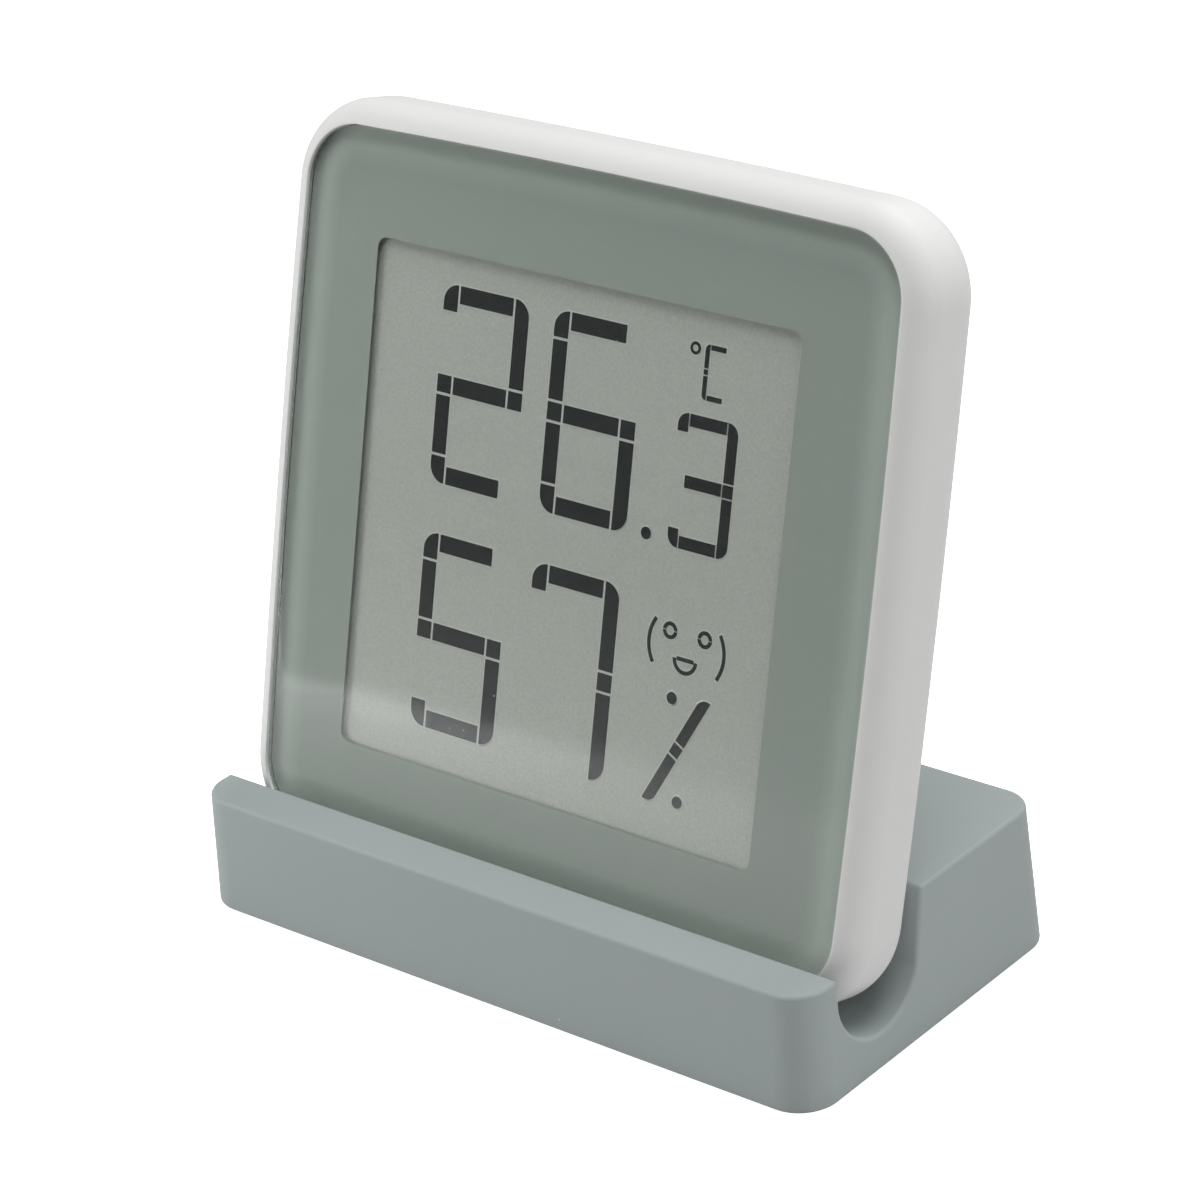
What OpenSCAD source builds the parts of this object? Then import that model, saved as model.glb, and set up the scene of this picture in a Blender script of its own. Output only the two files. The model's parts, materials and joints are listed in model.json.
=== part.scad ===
// Desk temperature and humidity sensor.
// A square electronic paper unit leans in the groove of a one-piece silicone stand.
// Millimetres, +Z up, the display faces -Y, origin in the middle of the stand's underside.

/* [Reading] */
// Temperature shown, in degrees
temperature = 26.3; // [0:0.1:99.9]
// Relative humidity shown, in per cent
humidity = 57; // [0:1:99]

/* [Stand] */
// Width of the stand
stand_w = 65.4; // [58:0.1:90]
// Depth of the stand at its foot
stand_d = 34.1; // [32:0.1:50]
// Radius of the stand's upright corners
stand_corner_r = 3.5; // [2:0.1:8]
// Height of the front lip
lip_h = 10.4; // [9.4:0.1:12]
// Thickness of the front lip at its top
lip_t = 4.3; // [3:0.1:6]
// Height of the rear block
block_h = 13; // [12:0.1:15]
// Thickness of the floor under the groove
groove_floor = 3.1; // [2:0.05:4]
// Slack of the groove over the unit's thickness
groove_play = 1.75; // [1.5:0.05:3]
// How far the groove's walls stand in from its round floor
groove_ease = 0.05; // [0.02:0.01:0.1]
// How much steeper the groove's rear wall stands than the unit, in degrees
wall_steep = 3; // [0:0.5:4]
// Slope of the front face from upright, in degrees
front_slope = 2.2; // [0:0.1:6]
// Slope of the rear face from upright, in degrees
rear_slope = 4.7; // [0:0.1:18]

/* [Display unit] */
// Width of the unit
unit_w = 65; // [63:0.5:85]
// Height of the unit
unit_h = 65; // [63:0.5:85]
// Radius of the unit's four corners
unit_corner_r = 7.6; // [5:0.1:9]
// Rounding of the front edge
front_round = 2.6; // [0.5:0.1:3]
// Rounding of the rear edge
rear_round = 3.6; // [1:0.1:4]
// Angle that the unit leans back, in degrees
lean = 15; // [8:0.5:20]
// How far the unit stands to the right of the stand's middle
unit_shift = 0.3; // [-2:0.05:2]
// Gap between the unit's lower edges and the groove
seat_gap = 0.1; // [0.05:0.01:0.3]

/* [Housing] */
// Thickness of the side walls, as seen in the rim
side_wall = 2.35; // [1.6:0.05:3]
// Thickness of the back wall
back_wall = 1.2; // [1:0.1:1.6]
// Diameter of the screw bosses
boss_d = 4.4; // [3.6:0.1:6]
// Distance of the boss axes from the inner walls
boss_inset = 3.9; // [3.5:0.1:4.4]
// How deep the bosses root in the back wall
boss_root = 0.4; // [0.2:0.1:0.8]

/* [Vents] */
// Number of vent slots
vent_count = 5; // [3:1:7]
// Width of a vent slot
vent_w = 1; // [0.6:0.1:1.5]
// Length of a vent slot
vent_l = 8; // [4:0.5:10]
// Distance between the vent slots
vent_pitch = 2; // [1.8:0.1:2.6]
// Share of a slot's width that rounds its ends
vent_round = 0.4; // [0.1:0.05:0.45]

/* [Lens] */
// Thickness of the lens
lens_t = 1.2; // [0.8:0.1:2]
// Gap between the lens and the rim
lens_gap = 0.12; // [0.05:0.01:0.3]
// Rounding of the lens's front edge
lens_round = 0.5; // [0.1:0.1:0.7]
// Thickness of the printed border
print_t = 0.05; // [0.02:0.01:0.1]
// Mean width of the border on the left and right of the window
border_side = 8.4; // [8.2:0.05:10.4]
// Mean width of the border above and below the window
border_end = 8.5; // [8.2:0.05:10.4]
// Radius of the window's corners
window_r = 1; // [0.5:0.1:3]
// Thickness of the adhesive under the lens
adhesive_t = 0.2; // [0.1:0.05:0.3]
// Width of the frame left bare along the adhesive's edges
adhesive_margin = 0.4; // [0.2:0.1:0.6]

/* [Display] */
// Middle of the window and of the panel behind it, from the unit's middle to the right
panel_x = -0.65; // [-0.8:0.05:0.8]
// Middle of the window and of the panel behind it, from the unit's middle upwards
panel_y = -0.3; // [-0.5:0.05:0.5]
// Depth of the gasket between the lens and the film
gasket_t = 0.4; // [0.35:0.05:0.6]
// How far the gasket stands back from the window
gasket_back = 0.35; // [0.2:0.05:0.6]
// Thickness of the electronic paper film
film_t = 0.4; // [0.3:0.05:0.6]
// Width of the film hidden round the window
film_margin = 1.5; // [1.2:0.1:1.8]
// Thickness of the glass backplane
backplane_t = 0.5; // [0.4:0.05:0.8]
// Width of the backplane outside the film
backplane_margin = 0.25; // [0.1:0.05:0.4]
// Height of the backplane's ledge under the film
ledge_h = 2.4; // [2.2:0.1:2.6]
// Thickness of the tape under the backplane
tape_t = 0.1; // [0.05:0.01:0.2]
// Width left bare along the tape's edges
tape_margin = 3; // [1:0.5:5]
// Gap round the backplane in the frame
panel_gap = 0.15; // [0.1:0.05:0.3]
// Gap between the frame and the side walls
frame_gap = 0.15; // [0.1:0.05:0.3]
// Length of the driver chip
driver_l = 12; // [8:0.5:16]
// Width of the driver chip
driver_w = 0.8; // [0.6:0.1:1]
// Thickness of the driver chip
driver_t = 0.3; // [0.2:0.05:0.35]
// Width of the flexible cable
flex_w = 12; // [8:0.5:16]
// Thickness of the flexible cable
flex_t = 0.12; // [0.08:0.01:0.15]
// Length of cable bonded to the ledge
flex_bond = 0.9; // [0.6:0.1:1]
// Gap between the cable and what it passes
flex_gap = 0.25; // [0.2:0.05:0.3]

/* [Circuit board] */
// Thickness of the circuit board
board_t = 0.8; // [0.6:0.1:1.2]
// Gap between the board and the side walls
board_margin = 2; // [1:0.1:2.4]
// Radius of the board's corners
board_r = 3.5; // [1:0.1:5]
// Diameter of a board screw's shank
screw_d = 1.5; // [1.2:0.1:2]
// Length of a board screw under its head
screw_l = 3.4; // [2:0.1:4]
// Diameter of a board screw's head
screw_head_d = 2.8; // [2.4:0.1:3.4]
// Height of a board screw's head
screw_head_h = 0.8; // [0.6:0.05:0.9]
// Width of the cross in the screw head
cross_w = 0.4; // [0.3:0.05:0.5]
// Depth of the cross in the screw head
cross_depth = 0.45; // [0.3:0.05:0.5]
// Gap round the screws in their holes
screw_gap = 0.03; // [0.02:0.01:0.06]
// Gap round the screw heads in the frame
head_gap = 0.3; // [0.2:0.05:0.5]
// Side of the microcontroller
micro_w = 5; // [4:0.5:7]
// Height of the microcontroller
micro_h = 0.85; // [0.6:0.05:1.2]
// Length of the crystal
crystal_l = 3.2; // [2:0.1:5]
// Width of the crystal
crystal_w = 1.5; // [1:0.1:2.5]
// Height of the crystal
crystal_h = 0.8; // [0.5:0.05:1.2]
// Side of the inductor
coil_w = 3; // [2:0.1:4]
// Height of the inductor
coil_h = 1.2; // [0.8:0.1:2]
// Height of the inductor's base
coil_base_h = 0.6; // [0.3:0.1:0.7]
// Width of the inductor's base round its winding
coil_margin = 0.2; // [0.1:0.05:0.4]
// Length of a capacitor
cap_l = 1.6; // [1:0.1:2]
// Width of a capacitor
cap_w = 0.8; // [0.5:0.1:1.2]
// Number of capacitors in the row
cap_count = 8; // [4:1:8]
// Distance between the capacitors
cap_pitch = 2.6; // [2.4:0.1:2.8]
// Side of the humidity sensor
sensor_w = 2.5; // [2:0.1:4]
// Height of the humidity sensor
sensor_h = 0.9; // [0.6:0.05:1.4]
// Diameter of the sensor's opening
sensor_port_d = 1.2; // [0.6:0.1:1.6]
// Distance of the sensor and its vents from the board's edges
sensor_inset = 10; // [9:0.5:11]
// Distance between the parts beside the battery
part_gap = 1.5; // [1:0.1:2]
// Corner radius of the crystal's can
part_r = 0.5; // [0.2:0.1:0.6]
// Diameter of the mark in the microcontroller
dimple_d = 0.6; // [0.4:0.1:1]
// Depth of small recesses in the chips
dimple_depth = 0.2; // [0.1:0.05:0.3]
// Depth of the cable connector
connector_d = 3.8; // [3:0.1:4.5]
// Height of the cable connector
connector_h = 1; // [0.8:0.1:1.4]
// Width of the connector's cheeks beside the cable
connector_cheek = 1; // [0.6:0.1:1.5]
// Depth of cable inside the connector
connector_grip = 2.6; // [2:0.1:2.8]
// Gap round the cable in the connector
connector_gap = 0.03; // [0.02:0.01:0.05]

/* [Battery] */
// Diameter of the coin cell
cell_d = 20; // [16:0.5:20]
// Thickness of the coin cell
cell_t = 3.2; // [2:0.1:3.5]
// Step between the cell's can and its cap
cell_step = 1.1; // [0.8:0.1:1.4]
// Height of the cell's cap
cell_cap_h = 0.3; // [0.2:0.05:0.4]
// Rounding of the can's edge
cell_edge = 0.4; // [0.2:0.1:0.6]
// Height of the cell's middle above the unit's middle
cell_y = 2; // [0:0.5:4]
// Gap between the cell and the door
cell_gap = 0.1; // [0.05:0.05:0.2]
// Height left for the negative contact
contact_h = 0.4; // [0.2:0.05:0.5]
// Thickness of the contact strip
strip_t = 0.2; // [0.15:0.05:0.25]
// Width of the contact strip
strip_w = 5; // [3:0.5:7]
// Length of the positive contact's foot
strip_foot = 3; // [2:0.5:4]
// Gap between the cell and its contacts
contact_gap = 0.02; // [0.01:0.01:0.05]
// Diameter of the negative contact
pad_d = 9; // [6:0.5:12]
// Thickness of the negative contact
pad_t = 0.1; // [0.08:0.01:0.15]
// Number of bumps on the negative contact
bump_count = 3; // [3:1:5]
// Diameter of a bump on the negative contact
bump_d = 1.4; // [1:0.1:2]
// Gap between the cell and its holder
holder_gap = 0.15; // [0.1:0.05:0.3]
// Wall of the battery holder
holder_wall = 1.4; // [1:0.1:2]
// Gap between the holder and the door
holder_clear = 0.25; // [0.2:0.05:0.4]

/* [Battery door] */
// Thickness of the door where it backs the cell
door_t = 1.6; // [1.3:0.1:2.4]
// Gap round the door in the housing
door_gap = 0.15; // [0.1:0.05:0.25]
// Thickness of the door's outer flange
flange_t = 0.55; // [0.4:0.05:0.6]
// Width of the door's outer flange
flange_w = 1.9; // [1.6:0.1:2.5]
// Wall of the door's inner ring
door_ring = 1.4; // [1:0.1:1.8]
// Gap between the cell and the door's inner ring
door_ring_gap = 0.5; // [0.3:0.1:0.8]
// Reach of a bayonet tab under the back wall
tab_reach = 1.4; // [1:0.1:1.5]
// Thickness of a bayonet tab
tab_t = 0.6; // [0.5:0.05:0.8]
// Running gap between the tabs and the back wall
tab_gap = 0.05; // [0.03:0.01:0.1]
// Angle that a bayonet tab spans, in degrees
tab_angle = 26; // [16:1:34]
// Number of bayonet tabs
tab_count = 3; // [2:1:4]
// Angle that unlocks the door, in degrees
unlock_angle = 45; // [42:1:50]
// Slack of the bayonet notches, in degrees
notch_slack = 4; // [2:1:6]
// Length of the coin slot
slot_l = 14; // [10:0.5:17]
// Width of the coin slot
slot_w = 2; // [1.5:0.1:3]
// Depth of the coin slot
slot_depth = 0.7; // [0.4:0.05:0.8]

/* [Button] */
// Distance of the button from the board's right edge
button_inset = 8.4; // [6.4:0.1:9.4]
// Place of the button above the unit's middle
button_y = -9; // [-12:0.5:-6]
// Diameter of the button
button_d = 6; // [4:0.1:6.5]
// Gap round the button
button_gap = 0.1; // [0.05:0.01:0.2]
// How deep the button lies in the back wall
button_recess = 0.15; // [0:0.05:0.3]
// Depth of the dish in the button
button_dish = 0.25; // [0.1:0.05:0.4]
// Width of the button's inner collar
collar_w = 1; // [0.6:0.1:1.4]
// Thickness of the button's inner collar
collar_t = 0.5; // [0.4:0.05:0.7]
// Diameter of the button's stem
stem_d = 2.4; // [1.6:0.1:3]
// Gap between the stem and the plunger, and between the collar and the wall
stem_gap = 0.05; // [0.02:0.01:0.08]
// Travel of the button and of the switch
press = 0.3; // [0.2:0.05:0.3]
// Side of the switch
switch_w = 3.6; // [3:0.1:5]
// Height of the switch body
switch_h = 1.6; // [1.3:0.1:1.8]
// Diameter of the switch plunger
plunger_d = 1.8; // [1.2:0.1:2.4]
// Length of the plunger outside the switch
plunger_out = 0.5; // [0.35:0.05:0.6]
// Length of the plunger inside the switch
plunger_in = 0.6; // [0.4:0.05:0.7]
// Gap round the plunger
plunger_gap = 0.05; // [0.03:0.01:0.1]

/* [Segments] */
// Thickness of the shown ink
ink_t = 0.04; // [0.02:0.01:0.1]
// Width of a large digit
digit_w = 9.05; // [7:0.05:9.5]
// Stroke of a large digit
digit_stroke = 1.48; // [0.8:0.01:1.8]
// Gap between the pieces of a large digit
digit_gap = 0.23; // [0.1:0.01:0.4]
// Distance between two large digits
digit_pitch = 11.73; // [10.5:0.01:12]
// Gap between the two rows
row_gap = 4.23; // [3.5:0.01:6]
// Gap between the window's upper edge and the digits
top_margin = 2.65; // [2:0.05:4]
// Gap between the digits and the window's lower edge
bottom_margin = 3.28; // [2.5:0.01:5]
// Middle of the reading, from the window's middle to the right
reading_x = -0.25; // [-1:0.05:1]
// Left edge of the digits, from the reading's middle
digits_x = -14.3; // [-17:0.1:-13.8]
// Width of the tenths digit
tenth_w = 5.93; // [4:0.01:6.5]
// Gap between the tenths digit and the unit letter
tenth_drop = 1.3; // [0.6:0.01:3]
// Stroke of the tenths digit
tenth_stroke = 1.02; // [0.6:0.01:1.2]
// Gap between the pieces of the tenths digit
tenth_gap = 0.14; // [0.08:0.01:0.25]
// Left edge of the tenths digit, from the reading's middle
tenth_x = 10.64; // [10.3:0.02:11]
// Share of a corner piece's length to the stroke
corner_share = 1.5; // [1.1:0.1:1.8]
// Diameter of the decimal point
point_d = 1.02; // [0.6:0.01:1.2]
// Decimal point, from the reading's middle
point_x = 8.5; // [8.3:0.05:9.3]
// Diameter of the degree ring
degree_d = 1.04; // [0.8:0.01:1.2]
// Stroke of the degree ring
degree_stroke = 0.25; // [0.15:0.01:0.3]
// Degree ring, from the reading's middle
degree_x = 11.65; // [11:0.05:11.8]
// Left edge of the unit letter, from the reading's middle
letter_x = 12.64; // [12.5:0.02:14]
// Width of the unit letter
letter_w = 2; // [1.6:0.1:3]
// Height of the unit letter
letter_h = 4.42; // [3.5:0.01:4.8]
// Stroke of the unit letter
letter_stroke = 0.42; // [0.3:0.01:0.6]
// Gap between the pieces of the unit letter
letter_gap = 0.1; // [0.05:0.01:0.15]
// Room over the slash of the per cent sign, in its row
slash_drop = 7; // [6.8:0.1:8]
// Stroke of the slash
slash_stroke = 1; // [0.6:0.05:1.1]
// Gap between the pieces of the slash
slash_gap = 0.2; // [0.1:0.01:0.3]
// Angle of the slash from upright, in degrees
slash_angle = 27.6; // [20:0.1:30]
// Middle of the slash, from the reading's middle
slash_x = 13.5; // [13:0.1:14.5]
// Diameter of the per cent sign's dots
per_cent_dot = 1; // [0.6:0.05:1.1]
// Upper dot, left of the slash's middle
upper_dot_x = 0.9; // [0.6:0.05:1.1]
// Lower dot, right of the slash's middle
lower_dot_x = 0.6; // [0.4:0.05:1.1]
// How far the dots lie inside the slash's ends
dot_inset = 0.635; // [0.4:0.005:0.9]
// Middle of the face, from the reading's middle
face_x = 13.55; // [13:0.05:14.5]
// Drop from the top of the lower row to the eyes
eyes_drop = 2.47; // [2:0.01:2.6]
// Diameter of an eye
eye_d = 1.44; // [1:0.02:1.6]
// Distance between the eyes
eye_pitch = 3.47; // [2.8:0.01:3.7]
// Stroke of the face
face_stroke = 0.33; // [0.2:0.01:0.4]
// Gap that parts each eye in two
eye_split = 0.08; // [0.05:0.01:0.12]
// Width of the smile
smile_w = 2.46; // [1.8:0.02:2.6]
// Drop from the eyes to the smile's ends
smile_drop = 2.06; // [1.9:0.02:2.3]
// Gap between the smile and the bar across it
smile_gap = 0.05; // [0.03:0.01:0.1]
// Height of a cheek arc
cheek_h = 3.84; // [3:0.02:4]
// Bulge of a cheek arc
cheek_bulge = 0.92; // [0.7:0.02:1.1]
// Half the width over both cheek arcs
cheek_x = 3.92; // [3.8:0.02:4.1]
// Drop from the eyes to the middle of the cheeks
cheek_drop = 1.1; // [0.8:0.05:1.3]

/* [Hidden] */
$fn = 64;

// Cuts run this far past the faces that they open
over = 1;

// Layers of the unit, measured from its back
cell_z = door_t + cell_gap;
cell_top = cell_z + cell_t;
board_z = cell_top + contact_h;
board_top = board_z + board_t;
plane_z = board_top + tape_t;
film_z = plane_z + backplane_t;
film_top = film_z + film_t;
print_z = film_top + gasket_t;
lens_z = print_z + print_t;
unit_t = lens_z + lens_t;
frame_top = print_z - adhesive_t;

// Groove, and where the unit's two lower edges rest in it
wall_lean = lean - wall_steep;
groove_r = (unit_t + groove_play) / 2;
groove_y = lip_h * tan(front_slope) + lip_t + groove_r - stand_d / 2;
groove_z = groove_floor + groove_r;
front_edge = [unit_t - front_round, front_round];
rear_edge = [rear_round, rear_round];
front_reach = groove_r - seat_gap - front_round;
rear_reach = groove_r - seat_gap - rear_round;
edge_span = norm(front_edge - rear_edge);
edge_dir = (front_edge - rear_edge) / edge_span;
along = (rear_reach ^ 2 - front_reach ^ 2 + edge_span ^ 2) / (2 * edge_span);
across = sqrt(rear_reach ^ 2 - along ^ 2);
seat = rear_edge + along * edge_dir + across * [-edge_dir[1], edge_dir[0]];

// Plan sizes that follow from the unit
cavity_w = unit_w - 2 * side_wall;
cavity_h = unit_h - 2 * side_wall;
cavity_r = unit_corner_r - side_wall;
lens_w = cavity_w - 2 * lens_gap;
lens_h = cavity_h - 2 * lens_gap;
lens_r = cavity_r - lens_gap;
frame_w = cavity_w - 2 * frame_gap;
frame_h = cavity_h - 2 * frame_gap;
frame_r = cavity_r - frame_gap;
board_w = cavity_w - 2 * board_margin;
board_h = cavity_h - 2 * board_margin;
window_w = cavity_w - 2 * border_side;
window_h = cavity_h - 2 * border_end;
boss_x = cavity_w / 2 - boss_inset;
boss_y = cavity_h / 2 - boss_inset;

// Display panel
film_w = window_w + 2 * film_margin;
film_h = window_h + 2 * film_margin;
plane_w = film_w + 2 * backplane_margin;
plane_top = film_h / 2 + backplane_margin;
plane_bottom = -film_h / 2 - ledge_h;
plane_h = plane_top - plane_bottom;
plane_y = (plane_top + plane_bottom) / 2;

// Flexible cable, folded round the lower edge of the board
flex_low = board_z - flex_gap - flex_t;
flex_fold_r = (film_z - flex_low - flex_t) / 2;
flex_fold_z = film_z - flex_fold_r;
flex_bond_y = plane_bottom + flex_bond;
flex_fold_y = plane_bottom - panel_gap - flex_fold_r;
flex_out = flex_fold_y - flex_fold_r - flex_t - flex_gap;
board_notch_y = flex_fold_y + flex_gap;
notch_w = flex_w + 2 * flex_gap;
connector_y = -film_h / 2 - flex_gap;

// Battery door
door_r = cell_d / 2 + door_ring_gap + door_ring;
hole_r = door_r + door_gap;
flange_r = door_r + flange_w;
ring_top = back_wall + tab_gap + tab_t;
holder_z = ring_top + holder_clear;
holder_r = cell_d / 2 + holder_gap;

// Button and switch
button_x = board_w / 2 - button_inset;
switch_z = board_z - switch_h;
plunger_z = switch_z - plunger_out;
collar_z = back_wall + stem_gap;

// Parts laid round the battery on the back of the board
side_x = -(holder_r + holder_wall + board_w / 2) / 2;
micro_y = cell_y + (micro_w + part_gap) / 2;
crystal_y = micro_y - micro_w / 2 - part_gap - crystal_w / 2;
coil_y = crystal_y - crystal_w / 2 - part_gap - coil_w / 2;
cap_y = (cell_y + holder_r + holder_wall + board_h / 2) / 2;
sensor_x = board_w / 2 - sensor_inset;
sensor_y = board_h / 2 - sensor_inset;
vent_r = vent_w * vent_round;

// Digits of the temperature in tenths, in base ten
base = 10;
tenths = round(temperature * base);

// Heights that follow from the window, baselines of the two rows, slash and face
digits_y = window_h / 2 - top_margin;
digit_h = (window_h - top_margin - bottom_margin - row_gap) / 2;
upper_base = digits_y - digit_h;
lower_base = upper_base - row_gap - digit_h;
tenth_h = digit_h - letter_h - tenth_drop;
slash_rise = digit_h - slash_drop;
slash_l = slash_rise / cos(slash_angle);
slash_y = lower_base + (slash_rise - slash_stroke * sin(slash_angle)) / 2;
per_cent_dot_y = slash_rise / 2 - dot_inset;
eyes_y = lower_base + digit_h - eyes_drop;

// Pieces that make each digit from 0 to 9
DIGITS = [
    ["tl", "t", "ur", "ul", "ml", "mr", "ll", "bl", "b", "lr"],
    ["ur", "mr", "lr"],
    ["tl", "t", "ur", "ml", "m", "mr", "ll", "bl", "b"],
    ["tl", "t", "ur", "m", "mr", "lr", "bl", "b"],
    ["tl", "ul", "ml", "m", "mr", "ur", "lr"],
    ["tl", "t", "ul", "ml", "m", "mr", "lr", "bl", "b"],
    ["tl", "t", "ul", "ml", "m", "mr", "ll", "bl", "b", "lr"],
    ["tl", "t", "ur", "mr", "lr"],
    ["tl", "t", "ur", "ul", "ml", "m", "mr", "ll", "bl", "b", "lr"],
    ["tl", "t", "ur", "ul", "ml", "m", "mr", "lr", "bl", "b"]
];

// Places what is drawn in the unit's own frame: x right, y up the face, z out of the face, 0 on its back
module on_unit() {
    translate([unit_shift, groove_y, groove_z])
        rotate([90 - lean, 0, 0])
            translate([0, unit_h / 2 - seat[1], -seat[0]])
                children();
}

// Places what belongs to the display panel: x and y from the window's middle
module on_panel() {
    on_unit()
        translate([panel_x, panel_y, 0])
            children();
}

// Quarter of a disc in the first quadrant
module quarter_disc(r) {
    intersection() {
        circle(r = r);
        square(r);
    }
}

module rounded_rect(w, h, r) {
    square([w, h - 2 * r], center = true);
    square([w - 2 * r, h], center = true);
    for (k = [0:3])
        translate([(k == 0 || k == 3 ? 1 : -1) * (w / 2 - r), (k < 2 ? 1 : -1) * (h / 2 - r)])
            rotate(90 * k)
                quarter_disc(r);
}

module plate(w, h, t, r) {
    linear_extrude(t)
        rounded_rect(w, h, r);
}

// Flat ring between two rounded rectangles
module border(w, h, r, hole_w, hole_h, hole_r, t) {
    difference() {
        plate(w, h, t, r);
        translate([0, 0, -over])
            plate(hole_w, hole_h, t + 2 * over, hole_r);
    }
}

// Section of a rounded plate from its corner axis to its edge
module edge_section(r, t, front_r, rear_r) {
    translate([0, rear_r])
        square([r, t - front_r - rear_r]);
    if (front_r > 0) {
        translate([0, t - front_r])
            square([r - front_r, front_r]);
        translate([r - front_r, t - front_r])
            quarter_disc(front_r);
    }
    if (rear_r > 0) {
        square([r - rear_r, rear_r]);
        translate([r - rear_r, rear_r])
            rotate(-90)
                quarter_disc(rear_r);
    }
}

// Plate with round corners and rounded front and rear edges
module soft_plate(w, h, t, r, front_r, rear_r) {
    translate([r - w / 2, r - h / 2, 0])
        cube([w - 2 * r, h - 2 * r, t]);
    for (k = [0:3]) {
        out = (k % 2 == 0 ? w : h) / 2 - r;
        run = (k % 2 == 0 ? h : w) - 2 * r;
        rotate(90 * k)
            translate([out, run / 2, 0]) {
                rotate([90, 0, 0])
                    linear_extrude(run)
                        edge_section(r, t, front_r, rear_r);
                rotate_extrude(angle = 90)
                    edge_section(r, t, front_r, rear_r);
            }
    }
}

// Ring sector about the z axis, centred on the x axis
module sector(inner_r, outer_r, t, angle) {
    rotate(-angle / 2)
        rotate_extrude(angle = angle)
            translate([inner_r, 0])
                square([outer_r - inner_r, t]);
}

module tube(outer_r, inner_r, t) {
    difference() {
        cylinder(r = outer_r, h = t);
        translate([0, 0, -over])
            cylinder(r = inner_r, h = t + 2 * over);
    }
}

module at_bosses() {
    for (x = [-boss_x, boss_x], y = [-boss_y, boss_y])
        translate([x, y, 0])
            children();
}

// Box on the back of the board, with its middle at x, y
module on_board(x, y, w, h, t) {
    translate([x - w / 2, y - h / 2, board_z - t])
        cube([w, h, t]);
}

// Upright stroke from its lower left, with the corner on side sx and end sy rounded to its full width
module stroke(w, h, sx, sy) {
    translate([0, sy > 0 ? 0 : w])
        square([w, h - w]);
    translate([sx > 0 ? 0 : w, sy > 0 ? h - w : w])
        rotate(sx > 0 ? min(sy, 0) * 90 : 90 - min(sy, 0) * 90)
            quarter_disc(w);
}

// Segment display digit with its lower left corner at the origin
module digit(value, w, h, s, gap) {
    half = (h - s) / 2 - gap;
    corner = corner_share * s;
    arm = half - corner - gap;
    bar = w - 2 * s - 2 * gap;
    for (piece = DIGITS[value]) {
        if (piece == "tl") translate([0, h - corner]) stroke(s, corner, -1, 1);
        if (piece == "t") translate([s + gap, h - s]) square([bar, s]);
        if (piece == "ur") translate([w - s, h - half]) stroke(s, half, 1, 1);
        if (piece == "ul") translate([0, h - half]) square([s, arm]);
        if (piece == "ml") translate([0, (h - s) / 2]) square(s);
        if (piece == "m") translate([s + gap, (h - s) / 2]) square([bar, s]);
        if (piece == "mr") translate([w - s, (h - s) / 2]) square(s);
        if (piece == "ll") translate([0, corner + gap]) square([s, arm]);
        if (piece == "bl") stroke(s, corner, -1, -1);
        if (piece == "b") translate([s + gap, 0]) square([bar, s]);
        if (piece == "lr") translate([w - s, 0]) stroke(s, half, 1, -1);
    }
}

// Large digit in a column and with its foot on a row's baseline
module large_digit(value, column, base) {
    translate([digits_x + column * digit_pitch, base])
        digit(value, digit_w, digit_h, digit_stroke, digit_gap);
}

// Letter C in segments, with its lower left corner at the origin
module unit_letter() {
    half = (letter_h - letter_stroke) / 2 - letter_gap;
    bar = letter_w - letter_stroke - letter_gap;
    translate([0, letter_h - half])
        stroke(letter_stroke, half, -1, 1);
    translate([0, (letter_h - letter_stroke) / 2])
        square(letter_stroke);
    stroke(letter_stroke, half, -1, -1);
    for (y = [0, letter_h - letter_stroke])
        translate([letter_stroke + letter_gap, y])
            square([bar, letter_stroke]);
}

// Slash in three pieces about the origin, with its two outer ends rounded
module slash() {
    half = (slash_l - slash_stroke) / 2 - slash_gap;
    rotate(-slash_angle)
        translate([-slash_stroke / 2, -slash_l / 2]) {
            translate([0, slash_l - half])
                stroke(slash_stroke, half, -1, 1);
            translate([0, (slash_l - slash_stroke) / 2])
                square(slash_stroke);
            stroke(slash_stroke, half, 1, -1);
        }
}

// Flat shapes as ink on the face of the film
module ink() {
    color([0.22, 0.24, 0.25])
        on_panel()
            translate([reading_x, 0, film_top])
                linear_extrude(ink_t)
                    children();
}

// Section of the groove about its axis: round floor, upright front wall, leaning rear wall
module groove_section() {
    rise = 2 * block_h;
    half = groove_r - groove_ease;
    foot = half * [cos(wall_lean), -sin(wall_lean)];
    circle(r = groove_r);
    polygon([[-half, 0], [0, 0], foot, foot + rise * [sin(wall_lean), cos(wall_lean)], [-half, rise]]);
}

module stand() {
    long = 2 * stand_d;
    color([0.58, 0.61, 0.61])
        difference() {
            intersection() {
                translate([0, -stand_d / 2, 0])
                    rotate([-front_slope, 0, 0])
                        translate([0, stand_d, -stand_d])
                            plate(stand_w, long, long, stand_corner_r);
                translate([0, stand_d / 2, 0])
                    rotate([rear_slope, 0, 0])
                        translate([0, -stand_d, -stand_d])
                            plate(stand_w, long, long, stand_corner_r);
                translate([-stand_w / 2 - over, -stand_d, 0])
                    cube([stand_w + 2 * over, long, block_h]);
            }
            translate([-stand_w / 2 - over, groove_y - long, lip_h])
                cube([stand_w + 2 * over, long, block_h]);
            translate([-stand_w / 2 - over, groove_y, groove_z])
                rotate([90, 0, 90])
                    linear_extrude(stand_w + 2 * over)
                        groove_section();
        }
}

// Case without its bosses and openings
module housing_tub() {
    difference() {
        soft_plate(unit_w, unit_h, unit_t, unit_corner_r, front_round, rear_round);
        translate([0, 0, back_wall])
            plate(cavity_w, cavity_h, unit_t, cavity_r);
    }
}

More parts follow.
